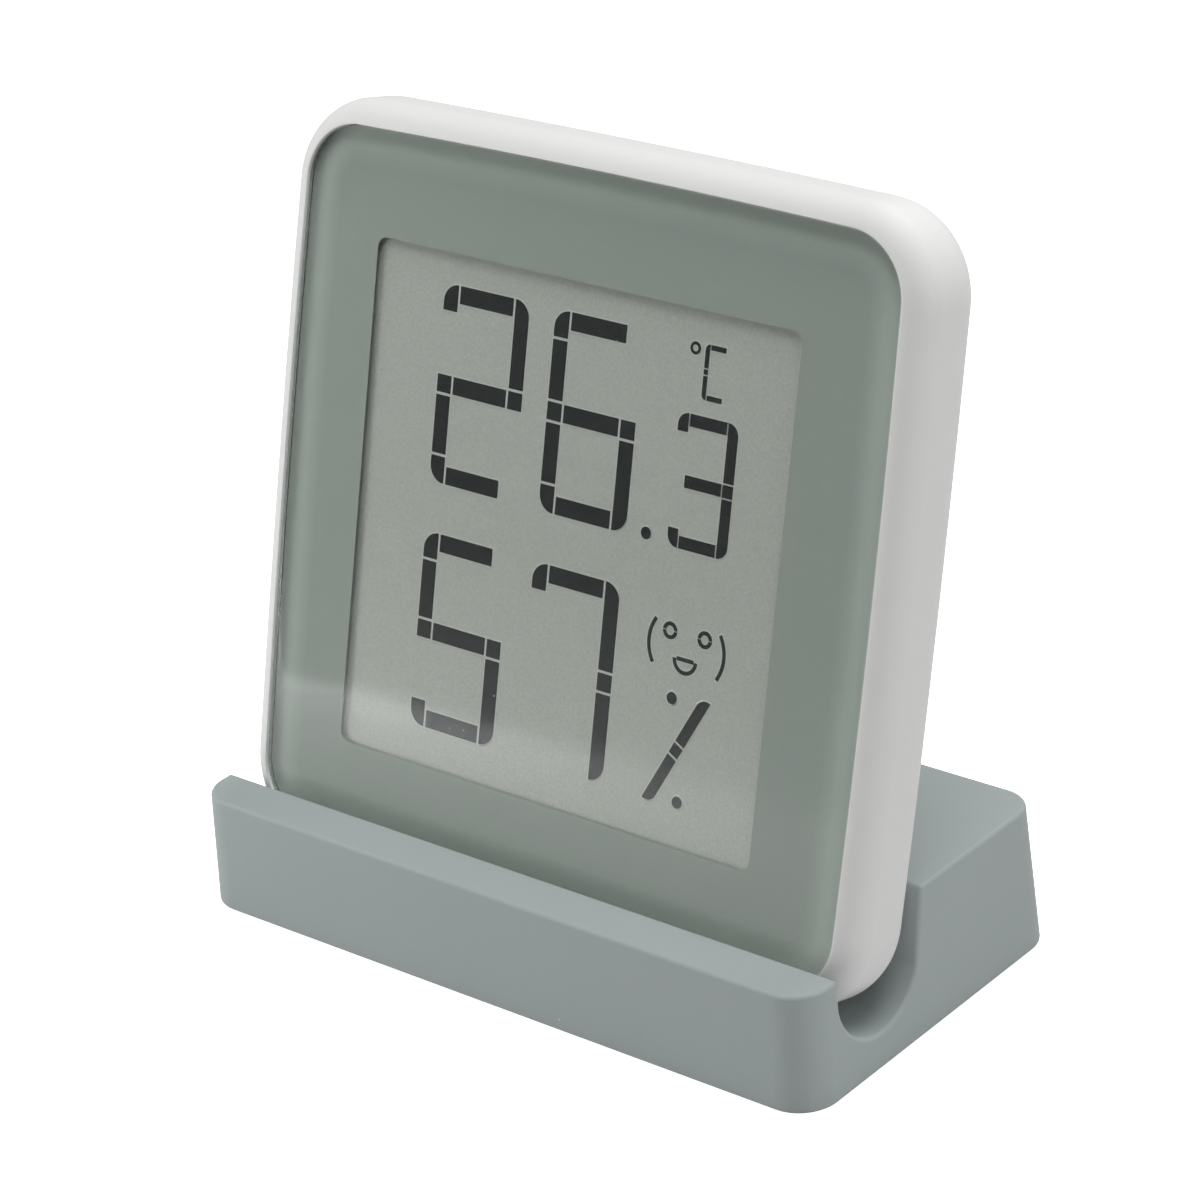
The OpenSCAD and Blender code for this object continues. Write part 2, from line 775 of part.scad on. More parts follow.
// Openings of the battery door: recess for the flange, hole, and notches that let the tabs in
module door_opening() {
    through = back_wall + 2 * over;
    translate([0, cell_y, -over]) {
        cylinder(r = flange_r + door_gap, h = flange_t + tab_gap + over);
        cylinder(r = hole_r, h = through);
        for (k = [1:tab_count])
            rotate(k * 360 / tab_count - unlock_angle)
                sector(door_r - over, door_r + tab_reach + door_gap, through, tab_angle + notch_slack);
    }
}

module rear_housing() {
    color([0.93, 0.93, 0.93])
        on_unit()
            difference() {
                union() {
                    housing_tub();
                    at_bosses()
                        translate([0, 0, back_wall - boss_root])
                            cylinder(d = boss_d, h = board_z - back_wall + boss_root);
                }
                at_bosses()
                    translate([0, 0, board_top - screw_l - head_gap])
                        cylinder(d = screw_d + 2 * screw_gap, h = screw_l);
                door_opening();
                translate([button_x, button_y, -over])
                    cylinder(d = button_d + 2 * button_gap, h = back_wall + 2 * over);
                for (k = [0:vent_count - 1])
                    translate([sensor_x + (k - (vent_count - 1) / 2) * vent_pitch, sensor_y, -over])
                        plate(vent_w, vent_l, back_wall + 2 * over, vent_r);
            }
}

module front_lens() {
    color([0.85, 0.88, 0.86, 0.35])
        on_unit()
            translate([0, 0, lens_z])
                soft_plate(lens_w, lens_h, lens_t, lens_r, lens_round, 0);
}

module lens_print() {
    color([0.52, 0.55, 0.53])
        on_unit()
            translate([0, 0, print_z])
                difference() {
                    plate(frame_w, frame_h, print_t, frame_r);
                    translate([panel_x, panel_y, -over])
                        plate(window_w, window_h, print_t + 2 * over, window_r);
                }
}

module lens_adhesive() {
    color([0.2, 0.2, 0.2])
        on_unit()
            difference() {
                translate([0, 0, frame_top])
                    plate(frame_w - 2 * adhesive_margin, frame_h - 2 * adhesive_margin, adhesive_t, frame_r);
                panel_opening(adhesive_margin);
            }
}

// Opening round the panel, wider by a margin on each side
module panel_opening(margin) {
    translate([panel_x, panel_y + plane_y, 0])
        plate(plane_w + 2 * (panel_gap + margin), plane_h + 2 * (panel_gap + margin), unit_t, window_r);
}

module display_frame() {
    color([0.8, 0.8, 0.8])
        on_unit()
            difference() {
                translate([0, 0, board_top])
                    plate(frame_w, frame_h, frame_top - board_top, frame_r);
                panel_opening(0);
                translate([panel_x - notch_w / 2, panel_y + flex_out, 0])
                    cube([notch_w, plane_bottom - flex_out, unit_t]);
                at_bosses()
                    cylinder(d = screw_head_d + 2 * head_gap, h = unit_t);
            }
}

module display_gasket() {
    color([0.15, 0.16, 0.16])
        on_panel()
            translate([0, 0, film_top])
                border(film_w - 2 * gasket_back, film_h - 2 * gasket_back, window_r,
                    window_w + 2 * gasket_back, window_h + 2 * gasket_back, window_r, gasket_t);
}

module epaper_film() {
    color([0.6, 0.62, 0.59])
        on_panel()
            translate([0, 0, film_z])
                plate(film_w, film_h, film_t, window_r);
}

module epaper_backplane() {
    color([0.55, 0.6, 0.6])
        on_panel()
            translate([0, plane_y, plane_z])
                plate(plane_w, plane_h, backplane_t, window_r);
}

module driver_chip() {
    color([0.2, 0.2, 0.22])
        on_panel()
            translate([-driver_l / 2, (flex_bond_y - film_h / 2 - driver_w) / 2, film_z])
                cube([driver_l, driver_w, driver_t]);
}

module display_flex() {
    color([0.75, 0.5, 0.15])
        on_panel()
            translate([-flex_w / 2, 0, 0])
                rotate([90, 0, 90])
                    linear_extrude(flex_w)
                        flex_section();
}

// Cable seen from its edge: a run on the ledge, a half round fold and a run into the connector
module flex_section() {
    outer_r = flex_fold_r + flex_t;
    translate([flex_fold_y, film_z])
        square([flex_bond_y - flex_fold_y, flex_t]);
    translate([flex_fold_y, flex_low])
        square([connector_y + connector_grip - flex_fold_y, flex_t]);
    translate([flex_fold_y, flex_fold_z])
        difference() {
            intersection() {
                circle(r = outer_r);
                translate([-outer_r, -outer_r])
                    square([outer_r, 2 * outer_r]);
            }
            circle(r = flex_fold_r);
        }
}

module display_tape() {
    color([0.9, 0.88, 0.8])
        on_panel()
            translate([0, plane_y, board_top])
                plate(plane_w - 2 * tape_margin, plane_h - 2 * tape_margin, tape_t, window_r);
}

module temperature_digits() {
    ink() {
        large_digit(floor(tenths / base ^ 2), 0, upper_base);
        large_digit(floor(tenths / base) % base, 1, upper_base);
        translate([tenth_x, upper_base])
            digit(tenths % base, tenth_w, tenth_h, tenth_stroke, tenth_gap);
        translate([point_x, upper_base + point_d / 2])
            circle(d = point_d);
    }
}

module humidity_digits() {
    ink() {
        large_digit(floor(humidity / base), 0, lower_base);
        large_digit(humidity % base, 1, lower_base);
    }
}

module unit_symbols() {
    ink() {
        translate([degree_x, digits_y - degree_d / 2])
            difference() {
                circle(d = degree_d);
                circle(d = degree_d - 2 * degree_stroke);
            }
        translate([letter_x, digits_y - letter_h])
            unit_letter();
        translate([slash_x, slash_y]) {
            slash();
            translate([-upper_dot_x, per_cent_dot_y])
                circle(d = per_cent_dot);
            translate([lower_dot_x, -per_cent_dot_y])
                circle(d = per_cent_dot);
        }
    }
}

// Arc of the face's stroke about the z axis, centred on the x axis
module face_arc(outer_r, angle) {
    sector(outer_r - face_stroke, outer_r, ink_t, angle);
}

module comfort_face() {
    chord = cheek_h / 2;
    sag = cheek_bulge - face_stroke;
    cheek_r = (chord ^ 2 + sag ^ 2) / (2 * sag);
    smile_in = smile_w / 2 - face_stroke;
    color([0.22, 0.24, 0.25])
        on_panel()
            translate([reading_x + face_x, eyes_y, film_top]) {
                for (side = [-1, 1])
                    translate([side * eye_pitch / 2, 0, 0])
                        difference() {
                            tube(eye_d / 2, eye_d / 2 - face_stroke, ink_t);
                            translate([-eye_d, -eye_split / 2, -over])
                                cube([2 * eye_d, eye_split, ink_t + 2 * over]);
                        }
                translate([0, -smile_drop, 0]) {
                    rotate(-90)
                        face_arc(smile_w / 2, 180);
                    translate([smile_gap - smile_in, -face_stroke / 2, 0])
                        cube([2 * (smile_in - smile_gap), face_stroke, ink_t]);
                }
                for (turn = [0, 180])
                    translate([0, -cheek_drop, 0])
                        rotate(turn)
                            translate([cheek_x - cheek_r, 0, 0])
                                face_arc(cheek_r, 2 * asin(chord / cheek_r));
            }
}

module circuit_board() {
    color([0.1, 0.3, 0.2])
        on_unit()
            difference() {
                translate([0, 0, board_z])
                    plate(board_w, board_h, board_t, board_r);
                translate([panel_x - notch_w / 2, panel_y + board_notch_y - board_h, board_z - over])
                    cube([notch_w, board_h, board_t + 2 * over]);
                at_bosses()
                    cylinder(d = screw_d + 2 * screw_gap, h = unit_t);
            }
}

module board_screws() {
    color([0.7, 0.7, 0.72])
        on_unit()
            at_bosses()
                translate([0, 0, board_top])
                    difference() {
                        union() {
                            cylinder(d = screw_head_d, h = screw_head_h);
                            translate([0, 0, -screw_l])
                                cylinder(d = screw_d, h = screw_l + screw_head_h / 2);
                        }
                        for (turn = [0, 90])
                            rotate(turn)
                                translate([-screw_d / 2, -cross_w / 2, screw_head_h - cross_depth])
                                    cube([screw_d, cross_w, cross_depth + over]);
                    }
}

module microcontroller() {
    color([0.12, 0.12, 0.13])
        on_unit()
            difference() {
                on_board(side_x, micro_y, micro_w, micro_w, micro_h);
                translate([side_x - micro_w / 2 + dimple_d, micro_y + micro_w / 2 - dimple_d, 0])
                    cylinder(d = dimple_d, h = board_z - micro_h + dimple_depth);
            }
}

module crystal() {
    color([0.75, 0.75, 0.78])
        on_unit()
            translate([side_x, crystal_y, board_z - crystal_h])
                plate(crystal_l, crystal_w, crystal_h, part_r);
}

module boost_inductor() {
    color([0.25, 0.25, 0.27])
        on_unit() {
            on_board(side_x, coil_y, coil_w, coil_w, coil_base_h);
            translate([side_x, coil_y, board_z - coil_h])
                cylinder(d = coil_w - 2 * coil_margin, h = coil_h);
        }
}

module capacitors() {
    color([0.65, 0.55, 0.42])
        on_unit()
            for (k = [0:cap_count - 1])
                on_board((k - (cap_count - 1) / 2) * cap_pitch, cap_y, cap_l, cap_w, cap_w);
}

module humidity_sensor() {
    color([0.9, 0.9, 0.88])
        on_unit()
            difference() {
                on_board(sensor_x, sensor_y, sensor_w, sensor_w, sensor_h);
                translate([sensor_x, sensor_y, 0])
                    cylinder(d = sensor_port_d, h = board_z - sensor_h + dimple_depth);
            }
}

module flex_connector() {
    wide = flex_w + 2 * (connector_gap + connector_cheek);
    slot = flex_w + 2 * connector_gap;
    color([0.85, 0.83, 0.75])
        on_panel()
            difference() {
                translate([-wide / 2, connector_y, board_z - connector_h])
                    cube([wide, connector_d, connector_h]);
                translate([-slot / 2, connector_y - over, flex_low - connector_gap])
                    cube([slot, connector_grip + connector_gap + over, flex_t + 2 * connector_gap]);
            }
}

module tact_switch() {
    color([0.2, 0.2, 0.2])
        on_unit()
            difference() {
                on_board(button_x, button_y, switch_w, switch_w, switch_h);
                translate([button_x, button_y, switch_z - over])
                    cylinder(d = plunger_d + 2 * plunger_gap, h = over + plunger_in + press + plunger_gap);
            }
}

module switch_plunger() {
    color([0.8, 0.3, 0.2])
        on_unit()
            translate([button_x, button_y, plunger_z])
                cylinder(d = plunger_d, h = plunger_out + plunger_in);
}

module unit_button() {
    dish_r = (button_d ^ 2 / 4 + button_dish ^ 2) / (2 * button_dish);
    color([0.9, 0.9, 0.9])
        on_unit()
            translate([button_x, button_y, 0])
                difference() {
                    union() {
                        translate([0, 0, button_recess])
                            cylinder(d = button_d, h = collar_z - button_recess);
                        translate([0, 0, collar_z])
                            cylinder(d = button_d + 2 * collar_w, h = collar_t);
                        translate([0, 0, collar_z])
                            cylinder(d = stem_d, h = plunger_z - stem_gap - collar_z);
                    }
                    translate([0, 0, button_recess + button_dish - dish_r])
                        sphere(r = dish_r);
                }
}

// Places what belongs to the battery about the cell's axis
module on_cell() {
    on_unit()
        translate([0, cell_y, 0])
            children();
}

module battery_holder() {
    color([0.85, 0.85, 0.83])
        on_cell()
            translate([0, 0, holder_z])
                difference() {
                    tube(holder_r + holder_wall, holder_r, board_z - holder_z);
                    translate([0, -strip_w / 2 - holder_gap, -over])
                        cube([cell_d, strip_w + 2 * holder_gap, board_z]);
                }
}

module positive_contact() {
    color([0.78, 0.75, 0.65])
        on_cell()
            translate([cell_d / 2 + contact_gap, -strip_w / 2, 0]) {
                translate([0, 0, holder_z])
                    cube([strip_t, strip_w, board_z - holder_z]);
                translate([0, 0, board_z - strip_t])
                    cube([strip_foot, strip_w, strip_t]);
            }
}

module negative_contact() {
    bump_h = contact_h - contact_gap;
    color([0.78, 0.75, 0.65])
        on_cell()
            translate([0, 0, board_z]) {
                translate([0, 0, -pad_t])
                    cylinder(d = pad_d, h = pad_t);
                for (k = [1:bump_count])
                    rotate(k * 360 / bump_count)
                        translate([pad_d / 2 - bump_d, 0, -bump_h])
                            cylinder(d1 = bump_d / 2, d2 = bump_d, h = bump_h);
            }
}

module coin_cell() {
    can_h = cell_t - cell_cap_h;
    color([0.8, 0.8, 0.8])
        on_cell()
            translate([0, 0, cell_z])
                rotate_extrude() {
                    edge_section(cell_d / 2, can_h, 0, cell_edge);
                    translate([0, can_h])
                        square([cell_d / 2 - cell_step, cell_cap_h]);
                }
}

module battery_door() {
    color([0.92, 0.92, 0.92])
        on_cell()
            difference() {
                union() {
                    cylinder(r = flange_r, h = flange_t);
                    cylinder(r = door_r, h = back_wall);
                    cylinder(r = cell_d / 2 - cell_step, h = door_t);
                    tube(door_r, door_r - door_ring, ring_top);
                    for (k = [1:tab_count])
                        rotate(k * 360 / tab_count)
                            translate([0, 0, back_wall + tab_gap])
                                sector(door_r - door_ring / 2, door_r + tab_reach, tab_t, tab_angle);
                }
                translate([-slot_l / 2, -slot_w / 2, -over])
                    cube([slot_l, slot_w, slot_depth + over]);
            }
}

stand();
rear_housing();
front_lens();
lens_print();
lens_adhesive();
display_frame();
display_gasket();
epaper_film();
epaper_backplane();
driver_chip();
display_flex();
display_tape();
temperature_digits();
humidity_digits();
unit_symbols();
comfort_face();
circuit_board();
board_screws();
microcontroller();
crystal();
boost_inductor();
capacitors();
humidity_sensor();
flex_connector();
tact_switch();
switch_plunger();
unit_button();
battery_holder();
positive_contact();
negative_contact();
coin_cell();
battery_door();
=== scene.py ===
import json
import math

import bmesh
import bpy
import numpy as np
from bpy.props import FloatProperty, FloatVectorProperty, IntProperty, PointerProperty
from mathutils import Matrix, Vector

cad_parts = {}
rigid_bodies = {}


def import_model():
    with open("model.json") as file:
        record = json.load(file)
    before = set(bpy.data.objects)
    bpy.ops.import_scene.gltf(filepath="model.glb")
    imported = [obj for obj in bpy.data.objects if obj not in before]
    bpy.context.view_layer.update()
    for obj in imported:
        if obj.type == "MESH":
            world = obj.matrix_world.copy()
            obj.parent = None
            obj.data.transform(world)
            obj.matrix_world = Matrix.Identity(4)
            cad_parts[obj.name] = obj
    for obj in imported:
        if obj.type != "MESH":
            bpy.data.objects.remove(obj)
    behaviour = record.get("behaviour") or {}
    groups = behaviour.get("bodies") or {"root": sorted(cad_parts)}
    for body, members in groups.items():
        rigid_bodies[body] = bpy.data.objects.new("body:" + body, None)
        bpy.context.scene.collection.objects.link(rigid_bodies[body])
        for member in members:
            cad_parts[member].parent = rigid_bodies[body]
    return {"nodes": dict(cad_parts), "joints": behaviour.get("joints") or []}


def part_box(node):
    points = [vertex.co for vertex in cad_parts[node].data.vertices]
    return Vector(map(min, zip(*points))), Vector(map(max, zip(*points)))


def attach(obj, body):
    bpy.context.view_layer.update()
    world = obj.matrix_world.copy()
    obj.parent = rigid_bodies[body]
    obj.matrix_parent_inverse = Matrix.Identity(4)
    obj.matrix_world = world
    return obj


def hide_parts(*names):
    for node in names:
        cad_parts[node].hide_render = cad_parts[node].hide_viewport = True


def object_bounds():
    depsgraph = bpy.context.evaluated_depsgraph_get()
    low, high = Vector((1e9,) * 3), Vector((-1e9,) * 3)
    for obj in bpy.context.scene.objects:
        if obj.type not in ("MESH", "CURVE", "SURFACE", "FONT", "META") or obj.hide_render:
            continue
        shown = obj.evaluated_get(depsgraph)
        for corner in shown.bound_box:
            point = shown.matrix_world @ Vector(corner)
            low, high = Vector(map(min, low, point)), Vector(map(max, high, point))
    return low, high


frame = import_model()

bl_info = {
    "name": "Desk temperature and humidity sensor",
    "version": (1, 0, 0),
    "blender": (4, 5, 0),
    "location": "View3D > Sidebar > Sensor",
    "description": "Dresses the solids of a desk temperature and humidity sensor and sets the studio",
    "category": "Object",
}

NODES = frame["nodes"]
for spare in [o for o in bpy.data.objects if o.type != "EMPTY" and o.name not in NODES]:
    bpy.data.objects.remove(spare)
CAD_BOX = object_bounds()
MM = 0.001

# Frame of the leaning unit: right, up the face and out of the face, from the middle of its back
JOINTS = {joint["name"]: joint for joint in frame["joints"]}
UP = Vector(JOINTS["unit_lift"]["axis"]).normalized()
OUT = Vector(JOINTS["button_press"]["axis"]).normalized()
RIGHT = UP.cross(OUT)
TURN = Matrix((RIGHT, UP, OUT))


def turned_box(node):
    """Lowest and highest corner of a solid along the unit's own axes."""
    points = np.array([TURN @ vertex.co for vertex in NODES[node].data.vertices])
    return Vector(points.min(0)), Vector(points.max(0))


CASE_LOW, CASE_HIGH = turned_box("rear_housing")
CASE_MIDDLE = Vector(((CASE_LOW.x + CASE_HIGH.x) / 2, (CASE_LOW.y + CASE_HIGH.y) / 2, CASE_LOW.z))
UNIT = Matrix.Translation(TURN.transposed() @ CASE_MIDDLE) @ TURN.transposed().to_4x4()


def unit_box(node):
    """Lowest and highest corner of a solid in the unit's frame."""
    low, high = turned_box(node)
    return low - CASE_MIDDLE, high - CASE_MIDDLE


def unit_size(node):
    low, high = unit_box(node)
    return high - low


def unit_middle(node):
    low, high = unit_box(node)
    return (low + high) / 2


# Sizes and colours that a user would change

def length(name, description, millimetres):
    return FloatProperty(
        name=name, description=description, default=millimetres * MM, unit="LENGTH", precision=5
    )


def angular(name, description, degrees):
    return FloatProperty(
        name=name, description=description, default=math.radians(degrees), subtype="ANGLE"
    )


def power(name, description, watts):
    return FloatProperty(name=name, description=description, default=watts, unit="POWER")


def colour(name, description, red, green, blue):
    return FloatVectorProperty(
        name=name, description=description, default=(red, green, blue), subtype="COLOR"
    )


class SensorStandSizes(bpy.types.PropertyGroup):
    """Sizes of the silicone stand."""

    corner: length("Corner", "Radius of the upright corners", 3.5)
    lip_height: length("Lip height", "Height of the front lip", 10.4)
    lip_depth: length("Lip depth", "Thickness of the front lip at its top", 4.3)
    groove: length("Groove", "Radius of the groove", 5.25)
    groove_floor: length("Groove floor", "Thickness under the groove", 3.1)
    ease: length("Wall ease", "How far the groove's walls stand in from its floor", 0.05)
    wall_steep: angular("Wall steepness", "How much steeper the groove's rear wall stands than the unit", 3)
    front_slope: angular("Front slope", "Slope of the front face", 2.2)
    end_slope: angular("End slope", "Slope of the two end faces", 1.8)
    rear_slope: angular("Rear slope", "Slope of the rear face", 4.7)
    edge: length("Edge", "Width of the rounded edges", 0.3)


class SensorCaseSizes(bpy.types.PropertyGroup):
    """Sizes of the white case, its door and its button."""

    corner: length("Corner", "Radius of the case's corners", 7.6)
    front_round: length("Front rounding", "Rounding of the front edge", 2.6)
    rear_round: length("Rear rounding", "Rounding of the rear edge", 3.6)
    wall: length("Wall", "Width of the rim", 2.35)
    back: length("Back", "Thickness of the back wall", 1.2)
    bow: length("Bow", "Outward bow of the lens opening's sides", 0.28)
    outer_bow: length("Outer bow", "Outward bow of the case's sides", 0.2)
    rim_edge: length("Rim edge", "Radius of the rim's inner edge", 0.12)
    hole_edge: length("Hole edge", "Radius of the edges of the holes in the back", 0.15)
    door_gap: length("Door gap", "Gap round the battery door", 0.15)
    door_edge: length("Door edge", "Radius of the door's outer edge", 0.15)
    door_flange: length("Door flange", "Thickness of the door's flange", 0.55)
    door_wall: length("Door wall", "Width of the door's flange outside its body", 1.9)
    door_ring: length("Door ring", "Wall of the door's inner ring", 1.4)
    tab_height: length("Tab", "Thickness of a bayonet tab", 0.6)
    tab_reach: length("Tab reach", "Reach of a bayonet tab", 1.4)
    tab_gap: length("Tab gap", "Running gap of the bayonet tabs", 0.05)
    tab_angle: angular("Tab angle", "Angle that a tab spans", 26)
    notch_slack: angular("Notch slack", "Slack of the bayonet notches", 4)
    tabs: IntProperty(name="Tabs", description="Number of bayonet tabs", default=3)
    slot_length: length("Slot length", "Length of the coin slot", 14)
    slot_width: length("Slot width", "Width of the coin slot", 2)
    slot_depth: length("Slot depth", "Depth of the coin slot", 0.7)
    button_gap: length("Button gap", "Gap round the button", 0.1)
    button_collar: length("Button collar", "Width of the button's inner collar", 1)
    button_dish: length("Button dish", "Depth of the dish in the button", 0.25)
    button_edge: length("Button edge", "Radius of the button's edge", 0.2)
    stem: length("Stem", "Radius of the button's stem", 1.2)
    vents: IntProperty(name="Vents", description="Number of vent slots", default=5)
    vent_pitch: length("Vent pitch", "Distance between the vent slots", 2)
    vent_width: length("Vent width", "Width of a vent slot", 1)
    vent_length: length("Vent length", "Length of a vent slot", 8)
    boss: length("Boss", "Radius of a screw boss", 2.2)
    boss_hole: length("Boss hole", "Radius of the hole in a screw boss", 0.78)


class SensorDisplaySizes(bpy.types.PropertyGroup):
    """Sizes of the lens and of what lies under it."""

    lens_gap: length("Lens gap", "Gap between the lens and the rim", 0.12)
    lens_drop: length("Lens drop", "How far the lens's edge drops", 0.2)
    lens_slope: length("Lens slope", "Width of the lens's rounded edge", 1.2)
    print_bond: length("Print bond", "How deep the print is keyed into the lens", 0.01)
    print_margin: length("Print margin", "Width of the lens left bare round the print", 0.06)
    film_margin: length("Film margin", "How far the film reaches past the window", 1.5)
    window_corner: length("Window corner", "Radius of the window's corners", 1)
    halo: length("Halo", "Width of the pale line round the shown segments", 0.12)
    halo_height: length("Halo height", "Thickness of the pale line", 0.015)


class SensorColours(bpy.types.PropertyGroup):
    """Colours of the finishes, in linear values."""

    silicone: colour("Silicone", "Grey silicone of the stand", 0.39, 0.44, 0.435)
    case: colour("Case", "White moulding", 0.81, 0.81, 0.80)
    border: colour("Border", "Grey-green print under the lens", 0.29, 0.33, 0.30)
    paper: colour("Paper", "Pale grey electronic paper", 0.41, 0.445, 0.40)
    halo: colour("Halo", "Pale line round the segments", 0.49, 0.53, 0.48)
    ink: colour("Ink", "Dark shown segments", 0.02, 0.022, 0.023)
    floor: colour("Floor", "Pale studio floor", 0.75, 0.75, 0.75)


class SensorStudio(bpy.types.PropertyGroup):
    """Camera and light."""

    azimuth: angular("Azimuth", "Camera's turn round the object", 41.292)
    elevation: angular("Elevation", "Camera above the horizon", 25.811)
    roll: angular("Roll", "Camera's roll", -4.8905)
    focal: FloatProperty(name="Focal length", description="Lens in millimetres", default=125.2)
    distance: length("Distance", "Depth of the aimed point in front of the camera", 333.8)
    aim: FloatVectorProperty(
        name="Aim", description="Point that the camera is set by", default=(0.00122, -0.00375, 0.0368),
        subtype="TRANSLATION", precision=5,
    )
    aim_pixel: FloatVectorProperty(
        name="Aim pixel", description="Where that point lies in the photograph",
        default=(569.0, 542.5), size=2,
    )
    key_power: power("Key light", "Power of the overhead light", 2.9)
    left_power: power("Left light", "Power of the light on the left", 0.4)
    right_power: power("Right light", "Power of the light on the right", 0.5)
    rear_power: power("Rear light", "Power of the light behind", 1.6)
    sky: FloatProperty(name="Sky", description="Strength of the even light all round", default=0.04)
    floor_glow: FloatProperty(
        name="Floor glow", description="How much the floor is lifted towards white in the picture",
        default=1.35,
    )


GROUPS = {
    "sensor_stand": SensorStandSizes,
    "sensor_case": SensorCaseSizes,
    "sensor_display": SensorDisplaySizes,
    "sensor_colours": SensorColours,
    "sensor_studio": SensorStudio,
}


# Outlines and lofts

CORNER_STEPS = 18
SIDE_STEPS = 20
ROUND_STEPS = 96
HOLE_STEPS = 64
BOSS_STEPS = 48
GROOVE_STEPS = 40
REAR_STEPS = 16
FRONT_STEPS = 14
SECTOR_STEPS = 12
SLOT_STEPS = (6, 2)
DISH_STEPS = 8
FILLET_STEPS = 5


def round_rectangle(width, height, radius, bow=0.0, corner_steps=CORNER_STEPS, side_steps=SIDE_STEPS):
    """Points anticlockwise round a rectangle with round corners, whose sides may bow outwards."""
    points = []
    for k in range(4):
        turn = Matrix.Rotation(k * math.pi / 2, 2)
        wide, high = (width, height) if k % 2 == 0 else (height, width)
        centre = Vector((wide / 2 - radius, high / 2 - radius))
        for step in range(corner_steps + 1):
            angle = step / corner_steps * math.pi / 2
            points.append(turn @ (centre + radius * Vector((math.cos(angle), math.sin(angle)))))
        for step in range(1, side_steps):
            along = 1 - 2 * step / side_steps
            points.append(turn @ Vector((along * centre.x, high / 2 + bow * (1 - along ** 2))))
    return points


def disc(radius, steps=ROUND_STEPS):
    angles = [2 * math.pi * k / steps for k in range(steps)]
    return [radius * Vector((math.cos(angle), math.sin(angle))) for angle in angles]


def arc(centre, radius, start, stop, steps=FILLET_STEPS):
    """Points of a section's arc, angles in degrees."""
    angles = [math.radians(start + (stop - start) * k / steps) for k in range(steps + 1)]
    return [(centre[0] + radius * math.cos(angle), centre[1] + radius * math.sin(angle)) for angle in angles]


def loft(rings, middle=(0.0, 0.0), closed=False):
    """Closed mesh through rings of points, each with its height. Rings run anticlockwise, from below to
    above on an outer wall. A closed loft joins its last ring to its first, and any other gets a flat face
    at each end."""
    build = bmesh.new()
    loops = [
        [build.verts.new((point[0] + middle[0], point[1] + middle[1], height)) for point in points]
        for points, height in rings
    ]
    pairs = list(zip(loops, loops[1:] + loops[:1])) if closed else list(zip(loops, loops[1:]))
    for low, high in pairs:
        for k in range(len(low)):
            following = (k + 1) % len(low)
            build.faces.new((low[k], low[following], high[following], high[k]))
    if not closed:
        build.faces.new(list(reversed(loops[0])))
        build.faces.new(loops[-1])
    mesh = bpy.data.meshes.new("loft")
    build.to_mesh(mesh)
    build.free()
    return mesh


def lathe(section, middle=(0.0, 0.0), steps=ROUND_STEPS):
    """Loft of a section of (radius, height) turned about an upright axis."""
    return loft([(disc(radius, steps), height) for radius, height in section], middle)


def sector(inner, outer, low, high, start, stop, middle, steps=SECTOR_STEPS):
    """Closed ring sector, angles in radians."""
    angles = [start + (stop - start) * k / steps for k in range(steps + 1)]
    points = [outer * Vector((math.cos(a), math.sin(a))) for a in angles]
    points += [inner * Vector((math.cos(a), math.sin(a))) for a in reversed(angles)]
    return loft([(points, low), (points, high)], middle)


def joined(meshes):
    """One mesh made of several."""
    build = bmesh.new()
    for mesh in meshes:
        build.from_mesh(mesh)
        bpy.data.meshes.remove(mesh)
    whole = bpy.data.meshes.new("joined")
    build.to_mesh(whole)
    build.free()
    return whole


def placed(name, mesh):
    thing = bpy.data.objects.new(name, mesh)
    bpy.context.scene.collection.objects.link(thing)
    return thing


def settled(thing):
    """Replaces an object's mesh by what its modifiers make of it, and removes them."""
    bpy.context.view_layer.update()
    evaluated = thing.evaluated_get(bpy.context.evaluated_depsgraph_get())
    mesh = bpy.data.meshes.new_from_object(evaluated)
    old = thing.data
    thing.modifiers.clear()
    thing.data = mesh
    mesh.name = thing.name
    if old.users == 0:
        bpy.data.meshes.remove(old)
    return thing


def carved(thing, mesh, operation):
    """Cuts a mesh from an object, or adds it."""
    tool = placed("tool", mesh)
    modifier = thing.modifiers.new("carve", "BOOLEAN")
    modifier.operation = operation
    modifier.object = tool
    modifier.solver = "EXACT"
    settled(thing)
    bpy.data.objects.remove(tool)
    bpy.data.meshes.remove(mesh)
    if not thing.data.polygons:
        raise RuntimeError(f"{thing.name} has no faces left after it was carved")
    return thing


def shaded(thing, angle=35):
    """Smooth shading with crisp edges, and flat faces that stay flat."""
    thing.data.polygons.foreach_set("use_smooth", [True] * len(thing.data.polygons))
    thing.data.set_sharp_from_angle(angle=math.radians(angle))
    modifier = thing.modifiers.new("normals", "WEIGHTED_NORMAL")
    modifier.keep_sharp = True
    return settled(thing)


def dressed(thing, material, body, slot, *nodes):
    """Gives a finished piece its material and its body, and hides the solids that it stands for. The slot is
    not used.
    """
    thing.data.materials.clear()
    thing.data.materials.append(material)
    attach(thing, body)
    if nodes:
        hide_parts(*nodes)
    return thing


# Repeats in a row by geometry nodes

